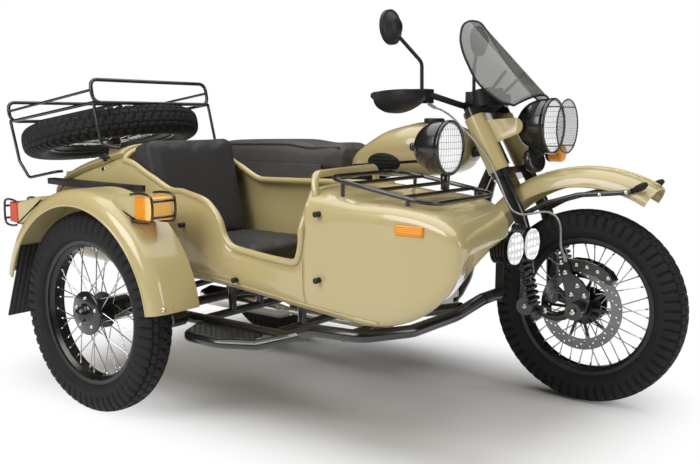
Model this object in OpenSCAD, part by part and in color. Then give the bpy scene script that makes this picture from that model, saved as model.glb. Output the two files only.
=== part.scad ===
// Motorcycle with a passenger sidecar on its right-hand side.
// Millimetres, +X forward, +Y to the rider's left, +Z up, standing on three wheels.

/* [Stance] */
// Rear axle to front axle
wheelbase = 1470; // [1400:5:1540]
// Motorcycle centre plane to sidecar wheel plane
track = 1130; // [1080:5:1180]
// Sidecar axle ahead of the rear axle
sidecar_lead = 171; // [120:1:220]
// Steering axis angle from the vertical
rake = 28.8; // [26:0.1:31]
// Steering axis behind the front axle, at axle height
axis_back = 89; // [70:1:110]
// Steering travel to each side
steer_limit = 35; // [20:1:38]

/* [Wheels] */
// Tyre diameter over the tread
tyre_d = 692; // [670:1:710]
// Tyre section width
tyre_w = 108; // [95:1:115]
// Tyre section height above the bead seat
tyre_h = 108; // [100:1:116]
// Rim width between the flanges
rim_w = 68; // [55:1:75]
// Height of a rim flange
flange_h = 9; // [6:0.5:12]
// Sheet thickness of the rim
rim_t = 4; // [3:0.5:6]
// Spokes in each wheel
spoke_count = 36; // [24:4:40]
// Spoke diameter
spoke_d = 4; // [3:0.5:6]
// Hub flange diameter
hub_d = 124; // [110:1:140]
// Hub flange spacing
hub_w = 60; // [50:1:70]
// Axle diameter
axle_d = 20; // [15:1:25]
// Radial room between an axle and its hub
axle_gap = 0.05; // [0.02:0.01:0.1]
// Room between seated pieces
seat_gap = 0.2; // [0.1:0.05:0.3]

/* [Brakes] */
// Front brake disc diameter
front_disc_d = 295; // [270:1:310]
// Rear brake disc diameter
rear_disc_d = 256; // [240:1:280]
// Disc thickness
disc_t = 5; // [4:0.5:7]
// Disc plane from the wheel plane
disc_y = 62; // [58:1:66]

/* [Front end] */
// Fork leg distance from the centre plane
leg_y = 114; // [110:1:118]
// Fork leg diameter
leg_d = 50; // [44:1:52]
// Fork legs ahead of the steering axis, square to it
leg_offset = 38; // [30:1:46]
// Fork cover diameter
cover_d = 78; // [70:1:84]
// Link pivot behind the axle
link_l = 178; // [160:1:195]
// Room from the front tyre to its fender's crown
front_fender_gap = 149; // [125:1:170]
// Front fender half width at its lip
front_fender_y = 82; // [76:1:84]
// Headlamp lens diameter
headlamp_d = 190; // [170:1:205]
// Headlamp lens ahead of the steering axis, at lamp height
headlamp_reach = 280; // [262:1:300]
// Windscreen thickness
screen_t = 4; // [3:0.5:6]
// Handlebar half width
bar_half = 430; // [400:5:450]
// Handlebar tube diameter
bar_d = 24; // [22:1:26]
// Mirror head diameter
mirror_d = 124; // [100:1:135]

/* [Motorcycle] */
// Frame tube diameter
frame_d = 36; // [30:1:40]
// Half width of the engine cradle
cradle_y = 112; // [105:1:125]
// Cylinder tips from the centre plane
cylinder_reach = 388; // [370:1:395]
// Cylinder fin diameter
fin_d = 168; // [150:1:180]
// Fins on each cylinder
fin_count = 9; // [6:1:11]
// Tank half width at the knees
tank_y = 165; // [150:1:175]
// Bench seat half width
bench_y = 150; // [135:1:165]
// Bench seat thickness
bench_h = 118; // [90:1:130]
// Room from the rear tyre to its fender's crown
rear_fender_gap = 59; // [50:1:75]

/* [Sidecar] */
// Body outer side, inboard of the wheel plane at the nose
body_out = 145; // [135:1:160]
// Body inner side from the motorcycle's centre plane
body_clear = 450; // [430:1:470]
// Body shell thickness
body_t = 15; // [10:1:20]
// Nose tip ahead of the rear axle
nose_x = 1430; // [1410:1:1450]
// Body tail behind the rear axle
tail_x = 345; // [330:1:360]
// Chassis tube diameter
chassis_d = 40; // [36:1:42]
// Chassis tube height below the axles
chassis_drop = 20; // [10:1:30]
// Room from the sidecar tyre to its fender's crown
fender_gap = 76; // [66:1:94]
// Sidecar fender outboard of the wheel plane
fender_out = 92; // [84:1:100]
// Sidecar fender inboard of the wheel plane
fender_in = 84; // [76:1:92]
// Sheet thickness of the fenders
fender_t = 4; // [3:0.5:6]
// Pitch of the trunk lid, rear edge low
lid_pitch = 12; // [9:0.5:15]
// Trunk lid opening angle
lid_open = 70; // [40:1:80]
// Rack and guard rod diameter
rod_d = 14; // [10:1:18]
// Seat cushion thickness
cushion_t = 105; // [80:1:120]

/* [Hidden] */
$fn = 48;

paint = [0.74, 0.66, 0.45];
black = [0.06, 0.06, 0.06];
rubber = [0.09, 0.09, 0.09];
vinyl = [0.16, 0.16, 0.16];
alloy = [0.66, 0.66, 0.65];
steel = [0.78, 0.78, 0.78];
amber = [0.95, 0.45, 0.05];
lens = [0.95, 0.96, 0.98];

axle_z = tyre_d / 2;
bead_r = tyre_d / 2 - tyre_h;
front_fender_r = tyre_d / 2 + front_fender_gap;
rear_fender_r = tyre_d / 2 + rear_fender_gap;
fender_r = tyre_d / 2 + fender_gap;
body_in = track - body_clear;
flange_r = bead_r + flange_h;
well_r = bead_r - 11;

// Superellipse point, exponent 2/e
function curl(v, e) = sign(v) * pow(abs(v), e);
// Tyre section, and the farthest reach of a tyre whose plane is tipped by an angle
tyre_mid = (tyre_d / 2 + bead_r) / 2;
tyre_half = (tyre_d / 2 - bead_r) / 2;
tyre_square = 0.72;
function tyre_point(a) = [tyre_mid + tyre_half * curl(cos(a), tyre_square), tyre_w / 2 * curl(sin(a), tyre_square)];
function tyre_reach(tip) = max([for (a = [0:15:90]) tyre_point(a) * [cos(tip), sin(tip)]]);

// Box of the whole machine: front tyre, spare tyre, left hand guard, sidecar fender
mirror_y = 330;
guard_end = 60;
spare = [-276, 590];
x_mid = (wheelbase + tyre_d / 2 + spare.x - tyre_reach(lid_pitch)) / 2;
y_mid = (bar_half + guard_end - track - fender_out) / 2;

// Vectors
function unit(v) = v / norm(v);
function side(d) = abs(d.z) < 0.9 ? unit(cross([0, 0, 1], d)) : unit(cross([0, 1, 0], d));
function frame_of(d, p) = let (e = side(d), f = cross(d, e))
    [[e.x, f.x, d.x, p.x], [e.y, f.y, d.y, p.y], [e.z, f.z, d.z, p.z], [0, 0, 0, 1]];

// Places: the motorcycle from the rear axle, the front end from the front axle, and the sidecar
// from its wheel plane, all three measured up from axle height
module at_bike() translate([-x_mid, -y_mid, axle_z]) children();
module at_front() translate([wheelbase - x_mid, -y_mid, axle_z]) children();
module at_sidecar() translate([-x_mid, -track - y_mid, axle_z]) children();
module at_sidecar_axle() translate([sidecar_lead - x_mid, -track - y_mid, axle_z]) children();
module both_sides() for (s = [0, 1]) mirror([0, s, 0]) children();
module about_y() rotate([-90, 0, 0]) children();

// Round rod from a to b
module rod(a, b, r) multmatrix(frame_of(unit(b - a), a)) cylinder(h = norm(b - a), r = r);

// Path with its corners rounded to one bend radius, a point about every 24 degrees
function lead(p, i, bend) = let (u = unit(p[i] - p[i - 1]), w = unit(p[i + 1] - p[i]))
    bend * tan(acos(min(1, u * w)) / 2);
function corner(p, i, bend) = let (u = unit(p[i] - p[i - 1]), w = unit(p[i + 1] - p[i]), turn = acos(min(1, u * w)))
    turn < 4 ? [p[i]] : let (n = unit(w - u * (u * w)), c = p[i] - u * lead(p, i, bend) + n * bend,
        m = ceil(turn / 24)) [for (k = [0:m]) c + bend * (u * sin(turn * k / m) - n * cos(turn * k / m))];
function rounded(p, bend) = concat([p[0]], len(p) < 3 ? [] : [for (i = [1:len(p) - 2]) each corner(p, i, bend)],
    [p[len(p) - 1]]);
// Side vectors carried along a path without twist
function heading(p, i) = unit(p[min(i + 1, len(p) - 1)] - p[max(i - 1, 0)]);
function carried(p, i, e) = i == len(p) ? [] : let (d = heading(p, i), f = unit(e - d * (e * d)))
    concat([f], carried(p, i + 1, f));
// Round tube along a path
module tube(p, r, bend, sides = 10) {
    q = rounded(p, bend);
    e = carried(q, 0, side(heading(q, 0)));
    loft([for (i = [0:len(q) - 1]) let (f = cross(heading(q, i), e[i]))
        [for (k = [0:sides - 1]) let (a = 360 * (k + 0.5) / sides) q[i] + r * (e[i] * cos(a) + f * sin(a))]]);
}

// Solid through a list of rings, each anticlockwise seen from the next
module loft(rings) {
    n = len(rings[0]);
    m = len(rings);
    polyhedron(points = [for (ring = rings) each ring],
        faces = concat([[for (j = [0:n - 1]) j]],
            [for (i = [0:m - 2], j = [0:n - 1]) let (k = (j + 1) % n)
                each [[i * n + j, (i + 1) * n + k, i * n + k], [i * n + j, (i + 1) * n + j, (i + 1) * n + k]]],
            [[for (j = [n - 1:-1:0]) (m - 1) * n + j]]));
}
// Ring across X: half widths about a centre
function ring_x(x, yc, zc, ry, rz, e, n) = [for (i = [0:n - 1]) let (a = 360 * (i + 0.5) / n)
    [x, yc + ry * curl(cos(a), e), zc + rz * curl(sin(a), e)]];

// Wheels
module tyre() color(rubber) about_y() rotate_extrude() difference() {
    polygon([for (a = [0:15:345]) tyre_point(a)]);
    translate([0, -rim_w]) square([bead_r, rim_w * 2]);
    for (s = [0, 1]) mirror([0, s]) translate([bead_r - 1, rim_w / 2]) square([flange_h + 1, rim_w]);
}
hub_r = hub_d / 2;
hub_end = hub_w / 2 + 18;
module wire_wheel() {
    color(black) about_y() rotate_extrude() for (s = [0, 1]) mirror([0, s]) polygon([[well_r - rim_t, 0],
        [well_r - rim_t, rim_w * 0.2], [bead_r - rim_t, rim_w * 0.36], [bead_r - rim_t, rim_w / 2],
        [flange_r, rim_w / 2 + 2], [flange_r, rim_w / 2], [bead_r, rim_w / 2], [bead_r, rim_w * 0.36],
        [well_r, rim_w * 0.2], [well_r, 0]]);
    color(black) about_y() rotate_extrude() for (s = [0, 1]) mirror([0, s])
        polygon([[axle_d / 2 + axle_gap, 0], [axle_d / 2 + axle_gap, hub_end], [26, hub_end],
            [30, hub_w / 2 + 4], [hub_r, hub_w / 2 + 4], [hub_r, hub_w / 2 - 4], [42, hub_w / 2 - 6], [34, 0]]);
    color(steel) for (i = [0:spoke_count - 1]) {
        s = i % 2 * 2 - 1;
        lean = floor(i / 2) % 2 * 2 - 1;
        a = 360 * (i + 0.5) / spoke_count;
        b = a + lean * 32;
        rod([(hub_r - 6) * cos(b), s * (hub_w / 2 + lean * 2.5), (hub_r - 6) * sin(b)],
            [(well_r - 1.5) * cos(a), s * 5, (well_r - 1.5) * sin(a)], spoke_d / 2);
    }
}
// Brake disc on its carrier arms, at the -Y side of a hub
carrier_w = 18;
module brake_disc(d) color(steel) translate([0, -disc_y, 0]) about_y() {
    difference() {
        cylinder(h = disc_t, d = d, center = true);
        cylinder(h = disc_t * 3, d = d * 0.74, center = true);
        for (a = [0:20:340], k = [0:2]) rotate(a + k * 6.6) translate([d * (0.4 + k * 0.035), 0])
            cylinder(h = disc_t * 3, d = 7, center = true);
    }
    for (a = [0:36:324]) rotate(a) translate([hub_d * 0.28, -5, -disc_t / 2])
        cube([d * 0.375 - hub_d * 0.28, 10, disc_t]);
    translate([0, 0, -carrier_w / 2]) difference() {
        cylinder(h = disc_y + carrier_w / 2 - hub_w / 2 - 3, d = hub_d * 0.66);
        translate([0, 0, -1]) cylinder(h = disc_y, d = 51);
    }
}
module front_tyre() at_front() tyre();
module rear_tyre() at_bike() tyre();
module sidecar_tyre() at_sidecar_axle() tyre();
module front_wheel() at_front() { wire_wheel(); brake_disc(front_disc_d); }
module rear_wheel() at_bike() { wire_wheel(); mirror([0, 1, 0]) brake_disc(rear_disc_d); }
module sidecar_wheel() at_sidecar_axle() wire_wheel();

// Fender: an arched sheet turned about an axle from angle a0 to a1
arch_square = 0.8;
module arch_sheet(r, half, drop, a0, a1) rotate([90, 0, 0]) rotate([0, 0, a0]) rotate_extrude(angle = a1 - a0)
    polygon(concat([for (a = [-90:15:90]) [r - drop + drop * curl(cos(a), arch_square), half * curl(sin(a),
        arch_square)]], [for (a = [90:-15:-90]) [r - drop + (drop - fender_t) * curl(cos(a), arch_square),
        (half - fender_t) * curl(sin(a), arch_square)]]));

// Motorcycle
yoke_low = front_fender_r + 10;
yoke_high = yoke_low + 245;
head_low = yoke_low + 43;
head_top = yoke_high - 44;
stem_r = 20;
back_x = tyre_d / 2 + 84;
engine_x = wheelbase / 2 + 5;
cradle_z = -86;
cradle_front = engine_x + 130;
rail_r = frame_d / 2 - 3;
seat_z = rear_fender_r + 41;
rail_z = seat_z - rail_r - seat_gap;
backbone_r = frame_d / 2 + 4;
function steer_point(u) = [wheelbase - axis_back - u * sin(rake), 0, u * cos(rake)];
backbone = [steer_point(head_low + 76) - [14, 0, 0], [back_x - 60, 0, 384]];
down_tube = [steer_point(head_low + 22) + [-16, 12, 0], [engine_x + 185, cradle_y, 20]];
upright = [[back_x - 70, cradle_y, 60], [back_x - 60, cradle_y, 330]];
stay = [[-70, cradle_y, rail_z - 4], [back_x - 66, cradle_y, 150]];
shock_top = [96, cradle_y, stay[0].z + (stay[1].z - stay[0].z) * (96 - stay[0].x) / (stay[1].x - stay[0].x)];
shock_low = [64, 30];
shock_y = cradle_y + 62;
pin_r = 9;
peg_x = back_x + 130;
cross_tubes = [[back_x, cradle_z], [engine_x - 100, cradle_z], [cradle_front, cradle_z]];
module frame_tubes() at_bike() color(black) difference() {
    union() {
        rod(steer_point(head_low), steer_point(head_top), stem_r + 14);
        tube(backbone, backbone_r, 60);
        both_sides() {
            tube([down_tube[0], down_tube[1], [cradle_front, cradle_y, cradle_z], [back_x, cradle_y, cradle_z],
                upright[0], upright[1], [back_x - 120, cradle_y, rail_z - 8]], frame_d / 2, 70);
            tube([backbone[1] + [24, 8, 8], [back_x - 130, cradle_y, rail_z], [-250, cradle_y, rail_z]], rail_r, 90);
            rod(stay[0], stay[1], frame_d / 2 - 5);
            rod(shock_top, [shock_top.x, shock_y + 18, shock_top.z], pin_r);
            rod([peg_x, cradle_y, cradle_z + 8], [peg_x, cradle_y + 110, cradle_z + 26], 11);
            rod([peg_x, cradle_y + 96, cradle_z + 24], [peg_x, cradle_y + 200, cradle_z + 26], 20);
        }
        for (c = cross_tubes) rod([c[0], -cradle_y, c[1]], [c[0], cradle_y, c[1]], frame_d / 2 - 2);
        for (x = [-120, 150]) rod([x, -cradle_y, rail_z], [x, cradle_y, rail_z], rail_r - 3);
        rod([swing_x, -cradle_y, swing_z], [swing_x, cradle_y, swing_z], 14);
        both_sides() rod([upright[0].x, cradle_y, swing_z - 4], [swing_x + 4, cradle_y, swing_z], 17);
    }
    rod(steer_point(head_low - 20), steer_point(head_top + 20), stem_r);
}
engine_z = 124;
block_y = cradle_y - 28;
block_z = -58;
module engine_case() at_bike() color(alloy) {
    translate([engine_x - 170, -block_y, block_z]) cube([330, block_y * 2, 300]);
    translate([engine_x + 155, 0, engine_z + 4]) rotate([0, 90, 0]) cylinder(h = 34, r1 = 84, r2 = 70);
    translate([engine_x - 30, 0, 236]) rotate([0, 90, 0]) cylinder(h = 180, r = 52);
    translate([back_x + 14, -70, block_z + 20]) cube([engine_x - back_x - 180, 140, 216]);
    both_sides() translate([engine_x, block_y - 2, engine_z]) about_y() cylinder(h = 14, r = 70);
    // Feet on the cradle's cross tubes
    for (c = cross_tubes) if (c[0] > engine_x - 170 && c[0] < engine_x + 160) difference() {
        translate([c[0] - 20, -60, c[1]]) cube([40, 120, block_z - c[1] + 2]);
        rod([c[0], -80, c[1]], [c[0], 80, c[1]], frame_d / 2 - 2 + seat_gap);
    }
}
module cylinders() at_bike() color(alloy) both_sides() translate([engine_x, 0, engine_z]) about_y() {
    base = block_y + 12 + seat_gap;
    fins = cylinder_reach - base - 78;
    translate([0, 0, base]) cylinder(h = fins + 20, r = 50);
    for (i = [0:fin_count - 1]) translate([0, 0, base + 12 + fins * i / fin_count]) cylinder(h = 6, d = fin_d);
    translate([-fin_d * 0.46, -fin_d * 0.42, base + fins + 4]) cube([fin_d * 0.92, fin_d * 0.84, 34]);
    translate([0, 0, base + fins + 30]) cylinder(h = cylinder_reach - base - fins - 30, r1 = 74, r2 = 60);
}
port_y = 225;
module cylinder_room() translate([engine_x, 0, engine_z]) about_y() cylinder(h = cylinder_reach * 2,
    d = fin_d + 2 * seat_gap, center = true);
module intakes() at_bike() color(black) both_sides() difference() {
    union() {
        tube([[engine_x - 60, port_y, engine_z + 40], [engine_x - 130, port_y, engine_z + 60],
            [max(engine_x - 250, back_x + 60), 130, engine_z + 160]], 24, 50);
        translate([engine_x - 150, port_y - 3, engine_z + 10]) cylinder(h = 110, r = 34);
        translate([max(engine_x - 290, back_x + 20), 44, engine_z + 120]) cube([90, 90, 110]);
    }
    cylinder_room();
}
silencer_y = cradle_y + 88;
silencer_z = -156;
module exhaust() at_bike() color(steel) both_sides() {
    difference() {
        tube([[engine_x + 30, port_y + 25, engine_z - 60], [engine_x + 60, port_y + 25, engine_z - 130],
            [engine_x + 40, port_y + 15, silencer_z], [engine_x - 80, silencer_y, silencer_z],
            [240, silencer_y, silencer_z]], 21, 60);
        cylinder_room();
    }
    translate([250, silencer_y, silencer_z]) rotate([0, -90, 0]) {
        cylinder(h = 60, r1 = 24, r2 = 46);
        translate([0, 0, 60]) cylinder(h = 430, r = 46);
        translate([0, 0, 490]) cylinder(h = 50, r1 = 46, r2 = 22);
    }
}
// Tank sections: share of the length from the rear, half width share, bottom, top
tank_x = [470, wheelbase - 470];
function tank_at(share) = tank_x[0] + (tank_x[1] - tank_x[0]) * share;
tank_sections = [[0, 0.36, 430, 474], [0.066, 0.68, 428, 520], [0.21, 0.91, 424, 572], [0.4, 1, 424, 620],
    [0.6, 0.97, 428, 640], [0.79, 0.85, 440, 636], [0.925, 0.64, 462, 612], [1, 0.34, 500, 578]];
module tank_skin(g) loft([for (s = tank_sections) ring_x(tank_at(s[0]), 0, (s[2] + s[3]) / 2, s[1] * tank_y + g,
    (s[3] - s[2]) / 2 + g, 0.72, 28)]);
module fuel_tank() at_bike() color(paint) difference() {
    union() {
        tank_skin(0);
        translate([tank_at(0.66), 0, 630]) cylinder(h = 26, r = 34);
    }
    // Tunnel over the backbone tube
    d = backbone[0] - backbone[1];
    rod(backbone[1] - d, backbone[0] + d, backbone_r + seat_gap);
    translate([0, backbone_r + 4, 0]) rotate([90, 0, 0]) linear_extrude(2 * backbone_r + 8) polygon([
        [backbone[1].x - d.x, backbone[1].z - d.z], [backbone[0].x + d.x, backbone[0].z + d.z],
        [backbone[0].x + d.x, backbone[1].z - 400], [backbone[1].x - d.x, backbone[1].z - 400]]);
}
pad_t = 12;
module knee_pads() at_bike() color(rubber) difference() {
    both_sides() translate([tank_at(0.34), tank_y / 2, 494]) rotate([-90, 0, 0]) linear_extrude(tank_y / 2 + pad_t) polygon([[-66, 30],
        [-72, -4], [-44, -34], [34, -42], [70, -14], [66, 30]]);
    tank_skin(seat_gap);
}
bench_top = seat_z + 106;
// Bench stations: x, half width share, top below the highest
bench_stations = [[-290, 0.72, 40], [-240, 0.9, 12], [-60, 1, 4], [150, 1, 0], [300, 0.98, 12], [420, 0.86, 8],
    [458, 0.7, 22]];
function flat_under(ring, z) = [for (p = ring) [p.x, p.y, max(p.z, z)]];
module rider_seat() at_bike() color(vinyl) {
    loft([for (s = bench_stations) flat_under(ring_x(s[0], 0, bench_top - s[2] - bench_h / 2, bench_y * s[1],
        bench_h / 2, 0.5, 24), seat_z)]);
    // Skirts over the frame rails
    both_sides() translate([-200, bench_y * 0.88, seat_z - 80]) cube([560, bench_y * 0.05, 100]);
}
module rear_fender() at_bike() color(paint) {
    arch_sheet(rear_fender_r, 92, 70, 20, 172);
    top = rail_z - rail_r + 3 - seat_gap;
    for (y = [-36, 36]) translate([-120, y, rear_fender_r - 24]) cylinder(h = top - rear_fender_r + 24, r = 9);
}
lamp_back = rear_fender_r + 20;
module tail_lamp() at_bike() {
    color(black) difference() {
        translate([-lamp_back, -66, 70]) cube([60, 132, 100]);
        translate([-lamp_back + 12, -80, 60]) cube([90, 44, 130]);
        translate([-lamp_back + 12, 36, 60]) cube([90, 44, 130]);
        about_y() cylinder(h = 200, r = rear_fender_r + seat_gap, center = true);
        // Number plate bolt holes
        for (y = [-50, 50]) translate([-lamp_back, y, 84]) rotate([0, 90, 0]) cylinder(h = 60, r = 3.3,
            center = true);
    }
    color("darkred") translate([-lamp_back - 34, 0, 132]) rotate([0, 90, 0]) cylinder(h = 34, r = 34);
    color(amber) both_sides() {
        translate([-lamp_back - 20, 130, 150]) rotate([0, 90, 0]) cylinder(h = 40, r = 32);
        rod([-lamp_back + 6, 60, 150], [-lamp_back + 6, 112, 150], 5);
    }
}
swing_x = tyre_d / 2 + 54;
swing_z = 60;
arm_r = 15;
drive_y = hub_end + 64;
module rear_swing_arm() at_bike() color(black) difference() {
    union() {
        both_sides() {
            tube([[swing_x, 74, swing_z], [220, 78, 34], [0, disc_y + 32, 0]], arm_r, 200);
            translate([0, disc_y + 18, 0]) about_y() cylinder(h = 30, r = 26);
            rod([shock_low.x, disc_y + 28, shock_low.y], [shock_low.x, shock_y + 18, shock_low.y], pin_r);
        }
        rod([swing_x, -cradle_y + 20, swing_z], [swing_x, cradle_y - 20, swing_z], 20);
        rod([0, -drive_y, 0], [0, disc_y + 60, 0], axle_d / 2);
        translate([0, -drive_y, 0]) about_y() cylinder(h = drive_y - disc_y - 2, r = 88);
        rod([60, -disc_y - 24, 10], [swing_x + 10, -75, swing_z], arm_r);
    }
    rod([swing_x, -cradle_y, swing_z], [swing_x, cradle_y, swing_z], 14 + seat_gap);
}
// Sprung strut between two pins that lie along Y
module strut(a, b, coil_r, pin) difference() {
    union() {
        rod(a, b, coil_r * 0.4);
        rod(a + (b - a) * 0.13, a + (b - a) * 0.68, coil_r * 0.72);
        for (i = [0:6]) rod(a + (b - a) * (0.15 + i * 0.075), a + (b - a) * (0.185 + i * 0.075), coil_r);
        rod(a + (b - a) * 0.66, a + (b - a) * 0.92, coil_r * 0.86);
        for (p = [a, b]) translate(p) about_y() cylinder(h = 26, r = pin + 8, center = true);
    }
    for (p = [a, b]) translate(p) about_y() cylinder(h = 90, r = pin + seat_gap, center = true);
}
module rear_shocks() at_bike() color(black) both_sides() strut([shock_low.x, shock_y, shock_low.y],
    [shock_top.x, shock_y, shock_top.z], 31, pin_r);

// Steering group, in a frame along the steering axis
module on_axis() translate([-axis_back, 0, 0]) rotate([0, -rake, 0]) children();
function axis_point(x, y, u) = [-axis_back - u * sin(rake) + x * cos(rake), y, u * cos(rake) + x * sin(rake)];
function leg_point(u, y) = axis_point(leg_offset, y, u);
yoke_t = 26;
leg_bend = yoke_low - 193;
link_pin = [-link_l * 0.66, -19];
shock_out = leg_y + leg_d / 2 + 34;
fork_shock_top = leg_point(leg_bend - 12, leg_y);
module fork() at_front() color(black) {
    both_sides() {
        tube([leg_point(yoke_high + 24, leg_y), leg_point(leg_bend, leg_y), [-link_l - 6, leg_y, 130],
            [-link_l, leg_y, -14]], leg_d / 2, 110);
        tube([[-link_l, leg_y, -5], [-link_l * 0.36, leg_y, -34], [0, leg_y, 0]], 17, 60);
        translate([-link_l, leg_y - 24, -5]) about_y() cylinder(h = 50, r = 32);
        translate([0, leg_y - 24, 0]) about_y() cylinder(h = 46, r = 30);
        rod(fork_shock_top, [fork_shock_top.x, shock_out + 16, fork_shock_top.z], pin_r);
        rod([link_pin.x, leg_y - 10, link_pin.y], [link_pin.x, shock_out + 16, link_pin.y], pin_r);
    }
    rod([0, -leg_y - 30, 0], [0, leg_y + 30, 0], axle_d / 2);
    on_axis() {
        for (u = [yoke_low, yoke_high]) translate([0, 0, u - yoke_t / 2]) linear_extrude(yoke_t) hull() {
            circle(34);
            for (s = [-1, 1]) translate([leg_offset, s * leg_y]) circle(leg_d / 2 + 9);
        }
        translate([0, 0, yoke_low]) cylinder(h = yoke_high - yoke_low, r = stem_r - 0.5);
    }
}
lamp_z = yoke_low + 129;
function axis_x(h) = -axis_back - h * tan(rake);
lamp_x = axis_x(lamp_z) + headlamp_reach;
lamp_r = headlamp_d * 0.52;
ear_y = lamp_r + 6;
ear_x = lamp_x - 96;
module fork_covers() at_front() color(paint) both_sides() difference() {
    union() {
        on_axis() translate([leg_offset, leg_y, yoke_low + yoke_t / 2 + seat_gap])
            cylinder(h = yoke_high - yoke_low - yoke_t - 2 * seat_gap, d = cover_d);
        hull() {
            rod(leg_point(yoke_low + 115, ear_y + 3), leg_point(yoke_high - 28, ear_y + 3), 3);
            translate([ear_x, ear_y, lamp_z]) about_y() cylinder(h = 6, r = 30);
        }
    }
    rod(leg_point(yoke_low, leg_y), leg_point(yoke_high, leg_y), leg_d / 2 + seat_gap);
}
module front_shocks() at_front() color(black) both_sides() strut([link_pin.x, shock_out, link_pin.y],
    [fork_shock_top.x, shock_out, fork_shock_top.z], 26, pin_r);
fender_front = 61;
fender_back = 150;
module front_fender() at_front() color(paint) {
    arch_sheet(front_fender_r, front_fender_y, 66, fender_front, fender_back);
    on_axis() translate([-4, -18, yoke_low - yoke_t / 2 - 70]) cube([36, 36, 70 - seat_gap]);
}
brace_y = front_fender_y + 9;
// Brace path: x and z as shares of the fender's radius
brace_line = [[-0.428, 0.65], [-0.263, 0.74], [-0.032, 0.812], [0.2, 0.836], [0.32, 0.852], [0.41, 0.89]];
module fender_braces() at_front() color(black) both_sides() difference() {
    tube([for (b = brace_line) [b[0] * front_fender_r, brace_y - min(0, b[0] + 0.3) * 46, b[1] * front_fender_r]],
        9 - seat_gap, 60);
    rod(leg_point(leg_bend - 60, leg_y), leg_point(yoke_low, leg_y), leg_d / 2 + seat_gap);
}
module headlamp() at_front() {
    translate([lamp_x, 0, lamp_z]) rotate([0, 90, 0]) {
        color(black) rotate_extrude() polygon(concat([for (a = [0:15:90]) [lamp_r * sin(a),
            -12 - 118 * pow(cos(a), 0.8)]], [[lamp_r, 0], [0, 0]]));
        color(lens) cylinder(h = 14, d1 = headlamp_d, d2 = headlamp_d * 0.86);
    }
    color(black) {
        translate([ear_x, 0, lamp_z]) about_y() cylinder(h = 2 * (ear_y - seat_gap), r = 16, center = true);
        // Horn under the shell
        translate([lamp_x - 74, -16, lamp_z - 128]) rotate([0, 76, -20]) cylinder(h = 34, r = 44);
        rod([lamp_x - 66, -14, lamp_z - 120], [lamp_x - 60, 0, lamp_z - 60], 8);
    }
}
pod_u = yoke_high + yoke_t / 2;
module instruments() at_front() color(black) {
    on_axis() {
        translate([-26, -64, pod_u + seat_gap]) cube([110, 128, 12]);
        for (y = [-46, 46]) translate([60, y, pod_u + 8]) rotate([0, 14, 0]) cylinder(h = 62, r = 40);
    }
    // Stays that carry the windscreen
    difference() {
        both_sides() rod(axis_point(72, 50, pod_u + 30), screen_point(0.35, 80), 6);
        on_screen() linear_extrude(screen_len) screen_strip(60, -screen_t - seat_gap);
    }
}
grip_z = yoke_low + 231;
grip_x = axis_x(grip_z - 72) - 166;
perch_y = bar_half - 260;
riser = [-6, 46];
bar_u = pod_u + 46;
bar_mid = axis_point(riser.x, 0, bar_u);
module handlebar() at_front() color(black) {
    both_sides() {
        tube([bar_mid, bar_mid + [0, 70, 0], [grip_x + 60, 190, grip_z + 10], [grip_x, bar_half, grip_z]],
            bar_d / 2, 60);
        rod([grip_x + 18, bar_half - 118, grip_z + 2], [grip_x - 2, bar_half + 4, grip_z - 1], 17);
        on_axis() translate([riser.x, riser.y, pod_u + 12 + 2 * seat_gap]) cylinder(h = bar_u - pod_u, r = 15);
        rod([grip_x + 50, bar_half - 150, grip_z - 4], [grip_x + 54, bar_half - 20, grip_z - 8], 7);
        translate([grip_x + 12, perch_y, grip_z - 22]) cube([56, 60, 52]);
    }
    rod(bar_mid - [0, 12, 0], bar_mid + [0, 12, 0], bar_d / 2 + 2);
}
// Guard outline: y from the bar's end, reach ahead of the grip, half height
guard_line = [[-190, 60, 30], [-150, 84, 44], [-90, 92, 52], [-30, 84, 50], [20, 60, 42], [guard_end, 24, 22]];
guard_t = 4;
module hand_guards() at_front() color(black) both_sides() {
    translate([grip_x + 16, bar_half, grip_z]) intersection() {
        linear_extrude(200, center = true) polygon(concat([for (g = guard_line) [g[1], g[0]]],
            [for (i = [len(guard_line) - 1:-1:0]) [guard_line[i][1] - guard_t, guard_line[i][0]]]));
        rotate([90, 0, 90]) linear_extrude(200) polygon(concat([for (g = guard_line) [g[0], -g[2]]],
            [for (i = [len(guard_line) - 1:-1:0]) [guard_line[i][0], guard_line[i][2]]]));
    }
    translate([grip_x - 2, bar_half + 6 + seat_gap, grip_z]) about_y() cylinder(h = guard_end - 8, r = 12);
    translate([grip_x - 8, bar_half + guard_end - 12, grip_z - 10]) cube([52, 10, 20]);
}
mirror_up = 244;
module mirrors() at_front() color(black) both_sides() {
    base = [grip_x + 34, perch_y + 30, grip_z + 30 + seat_gap];
    head = [grip_x - 20, mirror_y, grip_z + mirror_up];
    tube([base, base + [-2, 0, 96], head], 7, 30);
    translate(head) rotate([0, -94, 0]) {
        cylinder(h = 14, d = mirror_d, center = true);
        translate([0, 0, -34]) cylinder(h = 28, d1 = mirror_d * 0.42, d2 = mirror_d * 0.96);
    }
}
screen_low = [lamp_x - 42, 0, lamp_z + 112];
screen_high = [lamp_x - 318, 0, lamp_z + 388];
screen_len = norm(screen_high - screen_low);
screen_y = 190;
screen_bow = 0.0024;
// Windscreen outline: share of the height, half width
screen_rows = [[0, 150], [0.1, 176], [0.35, 188], [0.6, 172], [0.8, 146], [0.92, 112], [0.98, 80], [1, 50]];
function screen_point(share, y) = let (d = unit(screen_high - screen_low))
    screen_low + d * screen_len * share + [-d.z * screen_bow * y * y, y, d.x * screen_bow * y * y];
// Frame of the sheet, its foot at the origin, height along Z, outer face towards +Y
module on_screen() multmatrix(frame_of(unit(screen_high - screen_low), screen_low)) children();
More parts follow.
